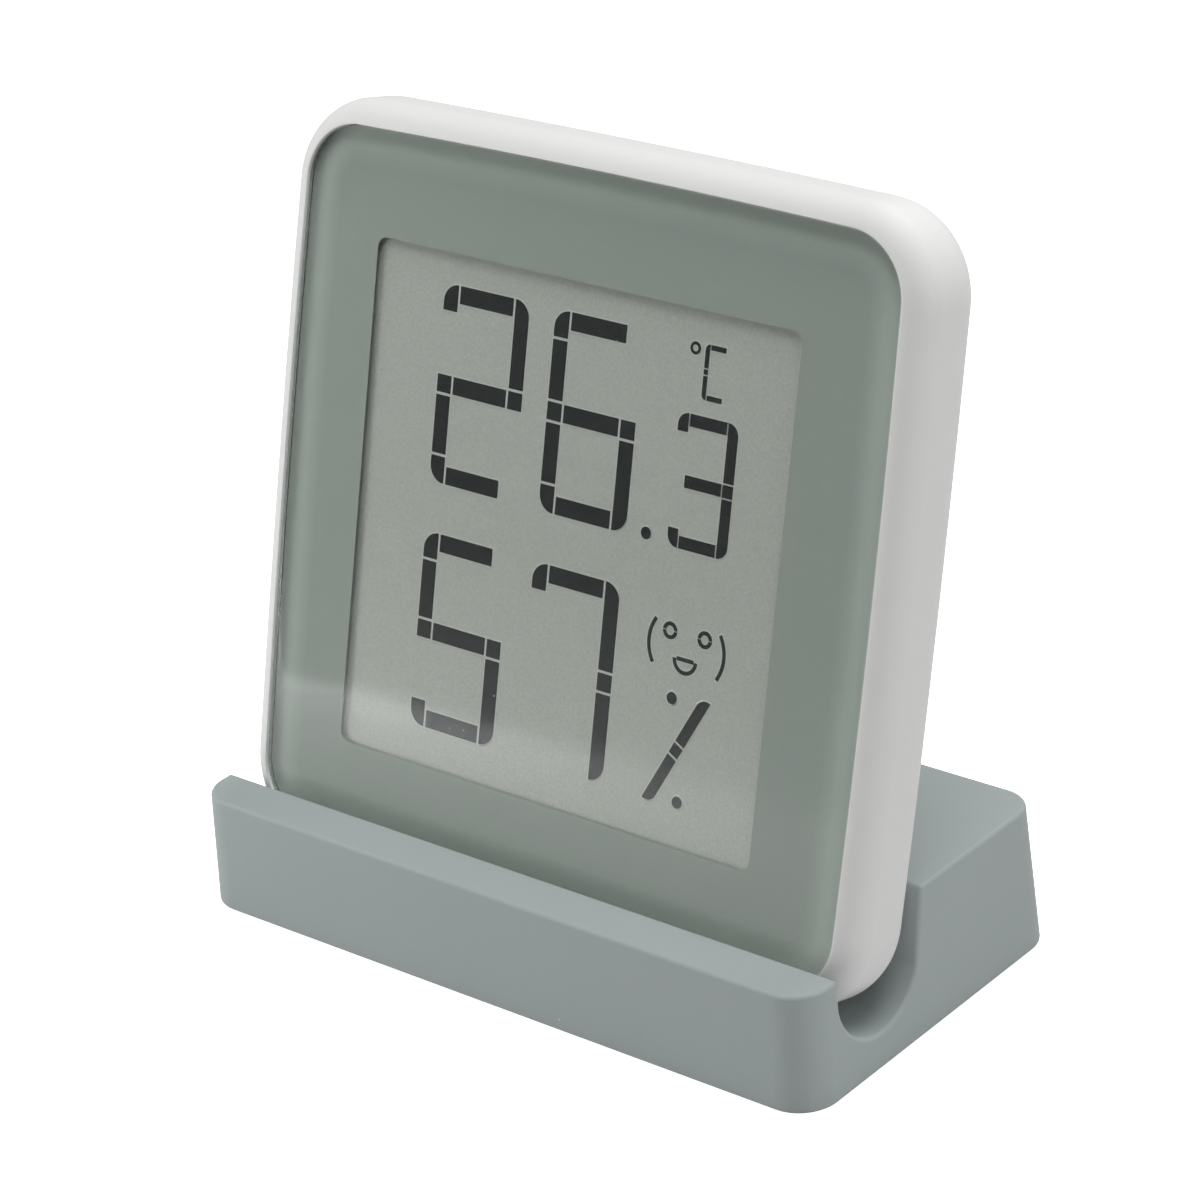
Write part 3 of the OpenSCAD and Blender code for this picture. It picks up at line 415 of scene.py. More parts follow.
def row_tree():
    """Repeats the given mesh in a straight row about its own place."""
    name = "sensor_row"
    if name in bpy.data.node_groups:
        return bpy.data.node_groups[name]
    tree = bpy.data.node_groups.new(name, "GeometryNodeTree")
    face = tree.interface
    face.new_socket("Geometry", in_out="INPUT", socket_type="NodeSocketGeometry")
    face.new_socket("Count", in_out="INPUT", socket_type="NodeSocketInt")
    face.new_socket("Step", in_out="INPUT", socket_type="NodeSocketVector")
    face.new_socket("Material", in_out="INPUT", socket_type="NodeSocketMaterial")
    face.new_socket("Geometry", in_out="OUTPUT", socket_type="NodeSocketGeometry")
    start = tree.nodes.new("NodeGroupInput")
    end = tree.nodes.new("NodeGroupOutput")
    last = calc(tree, "SUBTRACT", start.outputs["Count"], 1.0)
    half = calc(tree, "MULTIPLY", last, -0.5)
    first = add(tree, "ShaderNodeVectorMath", {0: start.outputs["Step"], "Scale": half}, operation="SCALE")
    line = add(tree, "GeometryNodeMeshLine", {
        "Count": start.outputs["Count"],
        "Start Location": first.outputs[0],
        "Offset": start.outputs["Step"],
    })
    copies = add(
        tree, "GeometryNodeInstanceOnPoints",
        {"Points": line.outputs[0], "Instance": start.outputs["Geometry"]},
    )
    real = add(tree, "GeometryNodeRealizeInstances", {"Geometry": copies.outputs[0]})
    coat = add(
        tree, "GeometryNodeSetMaterial", {"Geometry": real.outputs[0], "Material": start.outputs["Material"]}
    )
    tree.links.new(coat.outputs[0], end.inputs[0])
    return tree


def in_row(thing, count, step, material):
    """Repeats an object's mesh in a row and settles the result."""
    tree = row_tree()
    modifier = thing.modifiers.new("row", "NODES")
    modifier.node_group = tree
    values = {"Count": count, "Step": step, "Material": material}
    for item in tree.interface.items_tree:
        if item.in_out == "INPUT" and item.name in values:
            modifier[item.identifier] = values[item.name]
    return settled(thing)


# Shader helpers and shared effects

def add(tree, kind, inputs=None, **settings):
    """New node with its settings, and with its inputs linked or set."""
    made = tree.nodes.new(kind)
    for key, value in settings.items():
        setattr(made, key, value)
    for key, value in (inputs or {}).items():
        if isinstance(value, bpy.types.NodeSocket):
            tree.links.new(value, made.inputs[key])
        else:
            made.inputs[key].default_value = value
    return made


def calc(tree, operation, first, second):
    """Value worked out from two values or sockets."""
    return add(tree, "ShaderNodeMath", {0: first, 1: second}, operation=operation).outputs[0]


def times(tree, first, second):
    """Product of two colours."""
    made = add(tree, "ShaderNodeMix", {0: 1.0, 6: first, 7: second}, data_type="RGBA", blend_type="MULTIPLY")
    return made.outputs[2]


def blend(tree, share, first, second):
    """Colour between two colours or sockets."""
    full = [value if isinstance(value, bpy.types.NodeSocket) else (*value, 1.0) for value in (first, second)]
    return add(tree, "ShaderNodeMix", {0: share, 6: full[0], 7: full[1]}, data_type="RGBA").outputs[2]


def span(tree, value, low, high):
    """Value from 0 to 1 spread between two limits."""
    made = add(tree, "ShaderNodeMapRange", {"Value": value, "To Min": low, "To Max": high})
    return made.outputs["Result"]


def effect_tree(name, inputs, outputs):
    """Empty shader group with named inputs and outputs, all plain values."""
    tree = bpy.data.node_groups.new(name, "ShaderNodeTree")
    for label, default in inputs.items():
        socket = tree.interface.new_socket(label, in_out="INPUT", socket_type="NodeSocketFloat")
        socket.default_value = default
    for label in outputs:
        tree.interface.new_socket(label, in_out="OUTPUT", socket_type="NodeSocketFloat")
    return tree, tree.nodes.new("NodeGroupInput"), tree.nodes.new("NodeGroupOutput")


def moulded_grain():
    """Fine grain of a moulded surface, and the slow mottling under it."""
    tree, start, end = effect_tree(
        "moulded_grain", {"Scale": 2500.0, "Mottle Scale": 90.0}, ["Grain", "Mottle"]
    )
    place = add(tree, "ShaderNodeTexCoord").outputs["Object"]
    grain = add(
        tree, "ShaderNodeTexNoise",
        {"Vector": place, "Scale": start.outputs["Scale"], "Detail": 3.0, "Roughness": 0.6},
    )
    mottle = add(
        tree, "ShaderNodeTexNoise",
        {"Vector": place, "Scale": start.outputs["Mottle Scale"], "Detail": 2.0, "Roughness": 0.5},
    )
    tree.links.new(grain.outputs[0], end.inputs["Grain"])
    tree.links.new(mottle.outputs[0], end.inputs["Mottle"])
    return tree


def settled_specks():
    """Sparse specks such as lint and dust."""
    tree, start, end = effect_tree("settled_specks", {"Scale": 400.0, "Size": 0.1, "Share": 0.05}, ["Mask"])
    place = add(tree, "ShaderNodeTexCoord").outputs["Object"]
    warp = add(tree, "ShaderNodeTexNoise", {"Vector": place, "Scale": 5000.0})
    shift = add(
        tree, "ShaderNodeVectorMath", {0: warp.outputs["Color"], "Scale": 0.12 * MM}, operation="SCALE"
    )
    moved = add(tree, "ShaderNodeVectorMath", {0: place, 1: shift.outputs[0]}, operation="ADD")
    cells = add(tree, "ShaderNodeTexVoronoi", {"Vector": moved.outputs[0], "Scale": start.outputs["Scale"]})
    near = calc(tree, "LESS_THAN", cells.outputs["Distance"], start.outputs["Size"])
    parts = add(tree, "ShaderNodeSeparateColor", {0: cells.outputs["Color"]})
    chosen = calc(tree, "LESS_THAN", parts.outputs[0], start.outputs["Share"])
    tree.links.new(calc(tree, "MULTIPLY", near, chosen), end.inputs["Mask"])
    return tree


def drawn_lines():
    """Fine lines along the piece's width, as on drawn or stamped metal."""
    tree, start, end = effect_tree("drawn_lines", {"Scale": 900.0}, ["Lines"])
    place = add(tree, "ShaderNodeTexCoord").outputs["Object"]
    stretched = add(tree, "ShaderNodeMapping", {"Vector": place, "Scale": (0.05, 1.0, 1.0)})
    lines = add(
        tree, "ShaderNodeTexNoise",
        {"Vector": stretched.outputs[0], "Scale": start.outputs["Scale"], "Detail": 2.0},
    )
    tree.links.new(lines.outputs[0], end.inputs["Lines"])
    return tree


EFFECTS = {"moulded_grain": moulded_grain, "settled_specks": settled_specks, "drawn_lines": drawn_lines}


def effect(tree, name, **values):
    """Places a shared effect in a material with its own values."""
    group = bpy.data.node_groups.get(name) or EFFECTS[name]()
    made = tree.nodes.new("ShaderNodeGroup")
    made.node_tree = group
    for key, value in values.items():
        made.inputs[key.replace("_", " ")].default_value = value
    return made.outputs


def blank(name, **inputs):
    """New material with its shader, whose plain values are given by name."""
    material = bpy.data.materials.new(name)
    material.use_nodes = True
    tree = material.node_tree
    shader = tree.nodes["Principled BSDF"]
    for key, value in inputs.items():
        shader.inputs[key.replace("_", " ")].default_value = value
    return material, tree, shader


def drive(tree, shader, **sockets):
    for key, socket in sockets.items():
        tree.links.new(socket, shader.inputs[key.replace("_", " ")])


def bump(tree, height, strength, depth):
    made = add(tree, "ShaderNodeBump", {"Height": height, "Strength": strength, "Distance": depth})
    return made.outputs["Normal"]


def tint(base, factor):
    return tuple(min(1.0, value * factor) for value in base)


# Finishes

def moulded(
    name, base, roughness=0.45, grain=2500.0, mottle=90.0, contrast=0.04, relief=0.15, depth=0.02 * MM
):
    """Moulded plastic or rubber with a fine grain and a slow mottling."""
    material, tree, shader = blank(name)
    outputs = effect(tree, "moulded_grain", Scale=grain, Mottle_Scale=mottle)
    shade = blend(tree, outputs["Mottle"], tint(base, 1 - contrast), tint(base, 1 + contrast))
    drive(
        tree, shader,
        Base_Color=shade,
        Roughness=span(tree, outputs["Grain"], roughness - 0.06, roughness + 0.06),
        Normal=bump(tree, outputs["Grain"], relief, depth),
    )
    return material, tree, shader


def silicone(colours):
    """Matte grey silicone with lint on it."""
    material, tree, shader = moulded(
        "stand_silicone", tuple(colours.silicone),
        roughness=0.62, grain=1800.0, mottle=60.0, contrast=0.03, relief=0.3, depth=0.03 * MM,
    )
    base = shader.inputs["Base Color"].links[0].from_socket
    dark = effect(tree, "settled_specks", Scale=300.0, Size=0.045, Share=0.05)["Mask"]
    pale = effect(tree, "settled_specks", Scale=410.0, Size=0.05, Share=0.07)["Mask"]
    with_dark = blend(tree, dark, base, tint(colours.silicone, 0.45))
    drive(tree, shader, Base_Color=blend(tree, pale, with_dark, tint(colours.silicone, 1.45)))
    return material


def white_case(colours):
    """White satin moulding."""
    return moulded(
        "case_white", tuple(colours.case),
        roughness=0.58, grain=2600.0, mottle=45.0, contrast=0.012, relief=0.12,
    )[0]


def clear_lens():
    """Clear glossy cover that lets lamps through to what is under it."""
    material, tree, shader = blank(
        "lens_clear", Base_Color=(1.0, 1.0, 1.0, 1.0), Transmission_Weight=1.0, IOR=1.46
    )
    outputs = effect(tree, "moulded_grain", Scale=700.0, Mottle_Scale=50.0)
    drive(tree, shader, Roughness=span(tree, outputs["Mottle"], 0.02, 0.07))
    path = add(tree, "ShaderNodeLightPath")
    open_way = add(tree, "ShaderNodeBsdfTransparent")
    mixed = add(
        tree, "ShaderNodeMixShader",
        {0: path.outputs["Is Shadow Ray"], 1: shader.outputs[0], 2: open_way.outputs[0]},
    )
    tree.links.new(mixed.outputs[0], tree.nodes["Material Output"].inputs["Surface"])
    return material


# Painted light on the border's print by its distance from the edge, in millimetres: paler where the cover
# curves, a painted highlight in place of the light that the curved cover bends and reflects
EDGE_PAINTED_LIGHT = ((0.0, 1.15), (0.7, 1.22), (1.1, 1.27), (1.7, 1.24), (2.2, 1.13), (3.2, 1.0))


def border_print_and_edge_light(colours):
    """Even print, with a painted highlight along its edge where the cover above it curves."""
    base = tuple(colours.border)
    material, tree, shader = blank("border_grey")
    # Painted highlight: the distance from the edge picks a paler tone near the edge, in place of the curved
    # cover's light
    inset = add(tree, "ShaderNodeAttribute", attribute_name="inset").outputs["Fac"]
    reach = EDGE_PAINTED_LIGHT[-1][0]
    share = add(tree, "ShaderNodeMapRange", {"Value": inset, "From Max": reach * MM})
    painted_edge_light = add(tree, "ShaderNodeValToRGB", {0: share.outputs["Result"]})
    stops = painted_edge_light.color_ramp.elements
    while len(stops) < len(EDGE_PAINTED_LIGHT):
        stops.new(0.5)
    for stop, (place, tone) in zip(stops, EDGE_PAINTED_LIGHT):
        stop.position = place / reach
        stop.color = (*tint(base, tone), 1.0)
    outputs = effect(tree, "moulded_grain", Scale=900.0, Mottle_Scale=35.0)
    tone = blend(tree, outputs["Mottle"], (0.96, 0.96, 0.96), (1.0, 1.0, 1.0))
    drive(
        tree, shader,
        Base_Color=times(tree, painted_edge_light.outputs[0], tone),
        Roughness=span(tree, outputs["Grain"], 0.45, 0.6),
    )
    return material


# Worn spots of the display: their tone, and for each its place right and up from the lower digits' corner
# and its reach, in millimetres
WORN_TONE = (0.7, 0.73, 0.7)
WORN_SPOTS = ((2.6, 3.9, 0.6), (3.1, 2.9, 0.6), (5.1, 1.1, 0.9))


def worn(tree, shader):
    """Adds the pale specks of the worn spots to a display's colour."""
    base = shader.inputs["Base Color"].links[0].from_socket
    specks = effect(tree, "settled_specks", Scale=4200.0, Size=0.2, Share=0.35)["Mask"]
    place = add(tree, "ShaderNodeTexCoord").outputs["Object"]
    corner = unit_box("humidity_digits")[0]
    for right, up, reach in WORN_SPOTS:
        spot = UNIT @ (corner + Vector((right, up, 0.0)) * MM)
        far = add(tree, "ShaderNodeVectorMath", {0: place, 1: spot}, operation="DISTANCE").outputs["Value"]
        near = calc(tree, "LESS_THAN", far, reach * MM)
        share = calc(tree, "MULTIPLY", near, specks)
        base = blend(tree, share, base, WORN_TONE)
    drive(tree, shader, Base_Color=base)


def paper(name, base):
    """Electronic paper: fine capsules and a slow mottling."""
    material, tree, shader = blank(name)
    outputs = effect(tree, "moulded_grain", Scale=5200.0, Mottle_Scale=120.0)
    grain = blend(tree, span(tree, outputs["Grain"], -0.5, 1.5), tint(base, 0.86), tint(base, 1.14))
    tone = blend(tree, outputs["Mottle"], (0.97, 0.97, 0.97), (1.0, 1.0, 1.0))
    drive(
        tree, shader,
        Base_Color=times(tree, grain, tone),
        Roughness=span(tree, outputs["Grain"], 0.75, 0.9),
        Normal=bump(tree, outputs["Grain"], 0.1, 0.01 * MM),
    )
    worn(tree, shader)
    return material


def ink(colours):
    """Dark capsules with a few that stayed pale."""
    base = tuple(colours.ink)
    material, tree, shader = blank("ink_dark")
    outputs = effect(tree, "moulded_grain", Scale=5200.0, Mottle_Scale=260.0)
    grain = blend(tree, outputs["Grain"], tint(base, 0.75), tint(base, 1.3))
    stuck = effect(tree, "settled_specks", Scale=1500.0, Size=0.14, Share=0.012)["Mask"]
    drive(
        tree, shader,
        Base_Color=blend(tree, stuck, grain, tint(colours.paper, 0.8)),
        Roughness=span(tree, outputs["Grain"], 0.75, 0.9),
    )
    worn(tree, shader)
    return material


def pale_floor(colours, studio):
    """Pale paper floor, lifted towards white where the camera sees it."""
    base = tuple(colours.floor)
    material, tree, shader = moulded(
        "floor_pale", base, roughness=0.8, grain=300.0, mottle=4.0, contrast=0.01
    )
    seen = add(tree, "ShaderNodeLightPath").outputs["Is Camera Ray"]
    drive(tree, shader, Emission_Strength=span(tree, seen, 0.0, studio.floor_glow))
    shader.inputs["Emission Color"].default_value = (*base, 1.0)
    return material


def metal(name, base, roughness=0.3, scale=900.0):
    """Drawn or stamped metal with fine lines."""
    material, tree, shader = blank(name, Metallic=1.0)
    lines = effect(tree, "drawn_lines", Scale=scale)["Lines"]
    drive(
        tree, shader,
        Base_Color=blend(tree, lines, tint(base, 0.85), tint(base, 1.1)),
        Roughness=span(tree, lines, roughness - 0.08, roughness + 0.12),
        Normal=bump(tree, lines, 0.15, 0.01 * MM),
    )
    return material


def solder_mask(name, base):
    """Green board with paler tracks under the mask."""
    material, tree, shader = blank(name, Coat_Weight=0.3)
    place = add(tree, "ShaderNodeTexCoord").outputs["Object"]
    tracks = add(
        tree, "ShaderNodeTexBrick",
        {"Vector": place, "Color1": (0, 0, 0, 1), "Color2": (0, 0, 0, 1), "Mortar": (1, 1, 1, 1),
         "Scale": 260.0, "Mortar Size": 0.06},
    )
    outputs = effect(tree, "moulded_grain", Scale=1500.0, Mottle_Scale=200.0)
    drive(
        tree, shader,
        Base_Color=blend(tree, tracks.outputs["Fac"], tint(base, 0.8), tint(base, 1.6)),
        Roughness=span(tree, outputs["Grain"], 0.25, 0.4),
        Normal=bump(tree, tracks.outputs["Fac"], 0.3, 0.02 * MM),
    )
    return material


def panel_glass():
    """Thin tinted glass behind the film."""
    material, tree, shader = blank(
        "panel_glass", Base_Color=(0.62, 0.68, 0.66, 1.0), Transmission_Weight=0.6
    )
    outputs = effect(tree, "moulded_grain", Scale=500.0, Mottle_Scale=60.0)
    drive(tree, shader, Roughness=span(tree, outputs["Mottle"], 0.05, 0.15))
    return material


# The solids that keep their own shape, with the finish of each
PLASTICS = {
    "lens_adhesive": ("adhesive_black", (0.012, 0.012, 0.012), 0.8),
    "display_frame": ("frame_plastic", (0.62, 0.62, 0.61), 0.5),
    "display_gasket": ("gasket_black", (0.02, 0.021, 0.021), 0.85),
    "driver_chip": ("driver_black", (0.012, 0.012, 0.014), 0.35),
    "display_flex": ("flex_amber", (0.5, 0.2, 0.02), 0.3),
    "display_tape": ("tape_cream", (0.78, 0.73, 0.58), 0.6),
    "microcontroller": ("chip_black", (0.011, 0.011, 0.012), 0.5),
    "boost_inductor": ("ferrite_grey", (0.05, 0.05, 0.055), 0.7),
    "humidity_sensor": ("sensor_white", (0.78, 0.78, 0.75), 0.45),
    "flex_connector": ("connector_ivory", (0.71, 0.65, 0.5), 0.45),
    "tact_switch": ("switch_black", (0.02, 0.02, 0.02), 0.5),
    "switch_plunger": ("plunger_red", (0.52, 0.06, 0.03), 0.45),
    "battery_holder": ("holder_plastic", (0.66, 0.66, 0.64), 0.5),
    "capacitors": ("ceramic_tan", (0.38, 0.25, 0.13), 0.6),
}
METALS = {
    "board_screws": ("screw_steel", (0.6, 0.6, 0.62), 0.3),
    "crystal": ("can_metal", (0.68, 0.68, 0.7), 0.25),
    "positive_contact": ("contact_nickel", (0.6, 0.57, 0.48), 0.3),
    "negative_contact": ("pad_nickel", (0.6, 0.57, 0.48), 0.3),
    "coin_cell": ("cell_steel", (0.62, 0.62, 0.63), 0.22),
}
BOARD_GREEN = (0.01, 0.09, 0.035)


def paint(node, material):
    """Gives a carried-over solid its finish."""
    for place in NODES[node].material_slots:
        place.material = material


# Pieces

# Small offsets: rings that keep a face flat beside a rounding, root and floor of the bosses, the cell's
# seat, the tabs, the button's collar and the corners of the coin slot
FLAT_NEAR, FLAT_FAR = 0.3 * MM, 1.0 * MM
LENS_FLAT_NEAR, LENS_FLAT_FAR = 0.5 * MM, 1.5 * MM
BOSS_ROOT, BOSS_FLOOR = 0.2 * MM, 0.4 * MM
SEAT_INSET, SEAT_GAP = 1.1 * MM, 0.1 * MM
TAB_DROP = 0.002 * MM
COLLAR_GAP, COLLAR_HEIGHT = 0.05 * MM, 0.5 * MM
SLOT_CORNER = 0.3 * MM
EDGE_SEGMENTS, EDGE_ANGLE = 4, 40
ALONG_X = Matrix(((0, 0, 1, 0), (1, 0, 0, 0), (0, 1, 0, 0), (0, 0, 0, 1)))


def stand_cut(sizes, low, high):
    """Section of what is cut from the stand's block: the room over the lip and the round-bottomed groove."""
    lip_front = low.y + sizes.lip_height * math.tan(sizes.front_slope)
    centre = (lip_front + sizes.lip_depth + sizes.groove, sizes.groove_floor + sizes.groove)
    lean = math.degrees(math.atan2(UP.y, UP.z) - sizes.wall_steep)
    meet = math.degrees(math.acos((sizes.groove - sizes.ease) / sizes.groove))
    floor = arc(centre, sizes.groove, 180 + meet, 360 - lean - meet, GROOVE_STEPS)
    front, foot = floor[0], floor[-1]
    above, before = high.z + MM, low.y - MM
    top = (foot[0] + (above - foot[1]) * math.tan(math.radians(lean)), above)
    return [(before, sizes.lip_height), (front[0], sizes.lip_height), *floor, top, (before, above)]


def stand_mesh(sizes):
    """Block with round corners and sloping sides, cut down to its lip and grooved, with rounded edges."""
    low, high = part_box("stand")
    rings = []
    for height in (low.z, high.z):
        front = low.y + height * math.tan(sizes.front_slope)
        rear = high.y - height * math.tan(sizes.rear_slope)
        end = height * math.tan(sizes.end_slope)
        middle = Vector((0.0, (front + rear) / 2))
        plan = round_rectangle(high.x - low.x - 2 * end, rear - front, sizes.corner - end, side_steps=1)
        rings.append(([point + middle for point in plan], height))
    thing = placed("stand_body", loft(rings))
    cutter = loft([(stand_cut(sizes, low, high), x) for x in (low.x - MM, high.x + MM)])
    cutter.transform(ALONG_X)
    carved(thing, cutter, "DIFFERENCE")
    modifier = thing.modifiers.new("edges", "BEVEL")
    modifier.width = sizes.edge
    modifier.segments = EDGE_SEGMENTS
    modifier.limit_method = "ANGLE"
    modifier.angle_limit = math.radians(EDGE_ANGLE)
    return shaded(thing)


class SENSOR_OT_stand(bpy.types.Operator):
    """Makes the silicone stand"""

    bl_idname = "sensor.stand"
    bl_label = "Stand"

    def execute(self, context):
        scene = context.scene
        thing = stand_mesh(scene.sensor_stand)
        dressed(thing, silicone(scene.sensor_colours), "stand", "stand_silicone", "stand")
        return {"FINISHED"}


def door_sizes(sizes):
    """Radii and heights of the battery door."""
    flange = unit_size("battery_door").x / 2
    body = flange - sizes.door_wall
    tab_low = sizes.back + sizes.tab_gap
    return flange, body, tab_low, tab_low + sizes.tab_height


def hole_rim(radius, edge):
    """Section of a hole's rounded mouth in the back, from outside the case to its wall."""
    return [(radius + edge, -MM), *arc((radius + edge, edge), edge, 270, 180)]


NEARLY_ROUND = 0.999


def vent_cutter(sizes, material):
    """Row of vent slots with round ends and rounded mouths."""
    width, height, edge = sizes.vent_width, sizes.vent_length, sizes.hole_edge
    section = hole_rim(0.0, edge) + [(0.0, sizes.back + MM)]
    rings = []
    for grow, z in section:
        radius = (width / 2 + grow) * NEARLY_ROUND
        rings.append((round_rectangle(width + 2 * grow, height + 2 * grow, radius, 0.0, *SLOT_STEPS), z))
    row = placed("vents", loft(rings))
    in_row(row, sizes.vents, Vector((sizes.vent_pitch, 0.0, 0.0)), material)
    row.data.transform(Matrix.Translation((*unit_middle("humidity_sensor").xy, 0.0)))
    mesh = row.data
    bpy.data.objects.remove(row)
    return mesh


def case_mesh(sizes, material):
    """Case with a bowed lens opening, screw bosses, and the holes in its back."""
    size = unit_size("rear_housing")
    thick, wall, edge = size.z, sizes.wall, sizes.rim_edge
    front, rear = sizes.front_round, sizes.rear_round
    reach = wall - edge
    rise = math.acos(max(0.0, (front - reach) / front))
    rim = thick - front + front * math.sin(rise)
    section = [(rear + FLAT_FAR, 0.0), (rear + FLAT_NEAR, 0.0)]
    section += [(rear + d, rear + z) for d, z in arc((0.0, 0.0), -rear, 90, 0, REAR_STEPS)]
    section += [(0.0, (rear + thick - front) / 2)]
    crest = arc((0.0, 0.0), front, 180, 180 - math.degrees(rise), FRONT_STEPS)
    section += [(front + d, thick - front + z) for d, z in crest]
    section += arc((reach, rim - edge), edge, 90, 0)[1:]
    section += [(wall, thick - MM), (wall, sizes.back), (wall + MM, sizes.back)]
    rings = []
    for inset, z in section:
        if z > thick - front:
            share = max(0.0, min(1.0, inset / wall))
        else:
            share = float(z >= sizes.back and inset >= wall)
        drawn = inset + sizes.outer_bow * (1 - share ** 2)
        bow = sizes.outer_bow + (sizes.bow - sizes.outer_bow) * share ** 2
        outline = round_rectangle(size.x - 2 * drawn, size.y - 2 * drawn, sizes.corner - inset, bow)
        rings.append((outline, z))
    thing = placed("case_shell", loft(rings))

    board = unit_box("circuit_board")[0].z
    head = unit_size("board_screws").xy / 2 - unit_screw_reach()
    low, deep = sizes.back - BOSS_ROOT, sizes.back + BOSS_FLOOR
    tube = [(sizes.boss, low), (sizes.boss, board), (sizes.boss_hole, board), (sizes.boss_hole, deep)]
    bosses = [lathe(tube, (x, y), BOSS_STEPS) for x in (-head.x, head.x) for y in (-head.y, head.y)]
    carved(thing, joined(bosses), "UNION")

    flange, body, *_ = door_sizes(sizes)
    centre = unit_middle("battery_door").xy
    recess, hole = flange + sizes.door_gap, body + sizes.door_gap
    shelf = sizes.door_flange + sizes.tab_gap
    past = sizes.back + MM
    door = hole_rim(recess, sizes.hole_edge) + [(recess, shelf), (hole, shelf), (hole, past)]
    knob = unit_size("unit_button").x / 2 - sizes.button_collar + sizes.button_gap
    button = hole_rim(knob, sizes.hole_edge) + [(knob, past)]
    cuts = [
        lathe(door, centre),
        lathe(button, unit_middle("unit_button").xy, HOLE_STEPS),
        vent_cutter(sizes, material),
    ]
    carved(thing, joined(cuts), "DIFFERENCE")
    unlocked = -math.radians(JOINTS["door_turn"]["range_deg"][1])
    notches = [
        sector(body - MM, body + sizes.tab_reach + sizes.door_gap, shelf - MM, past, *ends, centre)
        for ends in tab_spans(sizes, sizes.notch_slack, unlocked)
    ]
    carved(thing, joined(notches), "DIFFERENCE")
    thing.data.transform(UNIT)
    return shaded(thing)


def unit_screw_reach():
    """Half the width of one screw's head, as a corner offset."""
    points = np.array([TURN @ vertex.co for vertex in NODES["board_screws"].data.vertices])[:, :2]
    points = points - np.array(CASE_MIDDLE.xy)
    right = points[points[:, 0] > 0]
    upper = right[right[:, 1] > 0]
    return Vector((upper.max(0) - upper.min(0)) / 2)


def tab_spans(sizes, slack, turn):
    """Start and end angle of each bayonet tab, widened by a slack and turned."""
    for k in range(1, sizes.tabs + 1):
        middle = 2 * math.pi * k / sizes.tabs + turn
        half = (sizes.tab_angle + slack) / 2
        yield middle - half, middle + half


class SENSOR_OT_case(bpy.types.Operator):
    """Makes the white case, its battery door and its button"""

    bl_idname = "sensor.case"
    bl_label = "Case"

    def execute(self, context):
        scene = context.scene
        sizes = scene.sensor_case
        material = white_case(scene.sensor_colours)
        dressed(case_mesh(sizes, material), material, "display_unit", "case_white", "rear_housing")
        dressed(door_mesh(sizes), material, "battery_door", "case_white", "battery_door")
        dressed(button_mesh(sizes), material, "unit_button", "case_white", "unit_button")
        return {"FINISHED"}


def door_mesh(sizes):
    """Battery door with a coin slot outside and a bayonet ring inside."""
    flange, body, tab_low, top = door_sizes(sizes)
    centre = unit_middle("battery_door").xy
    edge = sizes.door_edge
    seat = unit_size("coin_cell").x / 2 - SEAT_INSET
    inner = body - sizes.door_ring
    section = [(flange - edge - MM, 0.0), *arc((flange - edge, edge), edge, 270, 360)]
    section += [(flange, sizes.door_flange), (body, sizes.door_flange), (body, top), (inner, top)]
    section += [(inner, sizes.back), (seat, sizes.back), (seat, unit_box("coin_cell")[0].z - SEAT_GAP)]
    thing = placed("door_cap", lathe(section, centre))
    tabs = [
        sector(body - sizes.door_ring / 2, body + sizes.tab_reach, tab_low, top - TAB_DROP, *ends, centre)
        for ends in tab_spans(sizes, 0.0, 0.0)
    ]
    carved(thing, joined(tabs), "UNION")
    mouth = [(edge, -MM), *arc((edge, edge), edge, 270, 180), (0.0, sizes.slot_depth)]
    wide, high = sizes.slot_length, sizes.slot_width
    rings = [
        (round_rectangle(wide + 2 * grow, high + 2 * grow, SLOT_CORNER + grow, 0.0, *SLOT_STEPS), z)
        for grow, z in mouth
    ]
    carved(thing, loft(rings, centre), "DIFFERENCE")
    thing.data.transform(UNIT)
    return shaded(thing)


def button_mesh(sizes):
    """Dished button with its inner collar and stem."""
    low, high = unit_box("unit_button")
    centre = unit_middle("unit_button").xy
    collar = (high.x - low.x) / 2
    knob, edge = collar - sizes.button_collar, sizes.button_edge
    collar_low = sizes.back + COLLAR_GAP
    collar_top = collar_low + COLLAR_HEIGHT
    rim = knob - edge
    shares = [k / DISH_STEPS for k in range(1, DISH_STEPS)]
    dish = [(rim * share, low.z + sizes.button_dish * (1 - share ** 2)) for share in shares]
    section = [*dish, *arc((rim, low.z + edge), edge, 270, 360), (knob, collar_low), (collar, collar_low)]
    section += [(collar, collar_top), (sizes.stem, collar_top), (sizes.stem, high.z)]
    thing = placed("button_cap", lathe(section, centre, HOLE_STEPS))
    thing.data.transform(UNIT)
    return shaded(thing)


def lens_outline(sizes, case, inset):
    """Outline of the lens drawn in by an inset, with the same bow as its opening."""
    size = unit_size("rear_housing")
    drawn = case.wall + sizes.lens_gap + inset
    return round_rectangle(size.x - 2 * drawn, size.y - 2 * drawn, case.corner - drawn, case.bow)


def lens_mesh(sizes, case):
    """Clear cover with a rounded front edge."""
    low, high = unit_box("front_lens")
    top, drop, slope = high.z, sizes.lens_drop, sizes.lens_slope
    section = [(0.0, low.z), (0.0, (low.z + top - drop) / 2)]
    quarter = arc((0.0, 0.0), 1.0, 180, 90, FRONT_STEPS)
    section += [(slope + slope * d, top - drop + drop * z) for d, z in quarter]
    section += [(slope + LENS_FLAT_NEAR, top), (slope + LENS_FLAT_FAR, top)]
    thing = placed("lens_cover", loft([(lens_outline(sizes, case, inset), z) for inset, z in section]))
    thing.data.transform(UNIT)
    return shaded(thing)


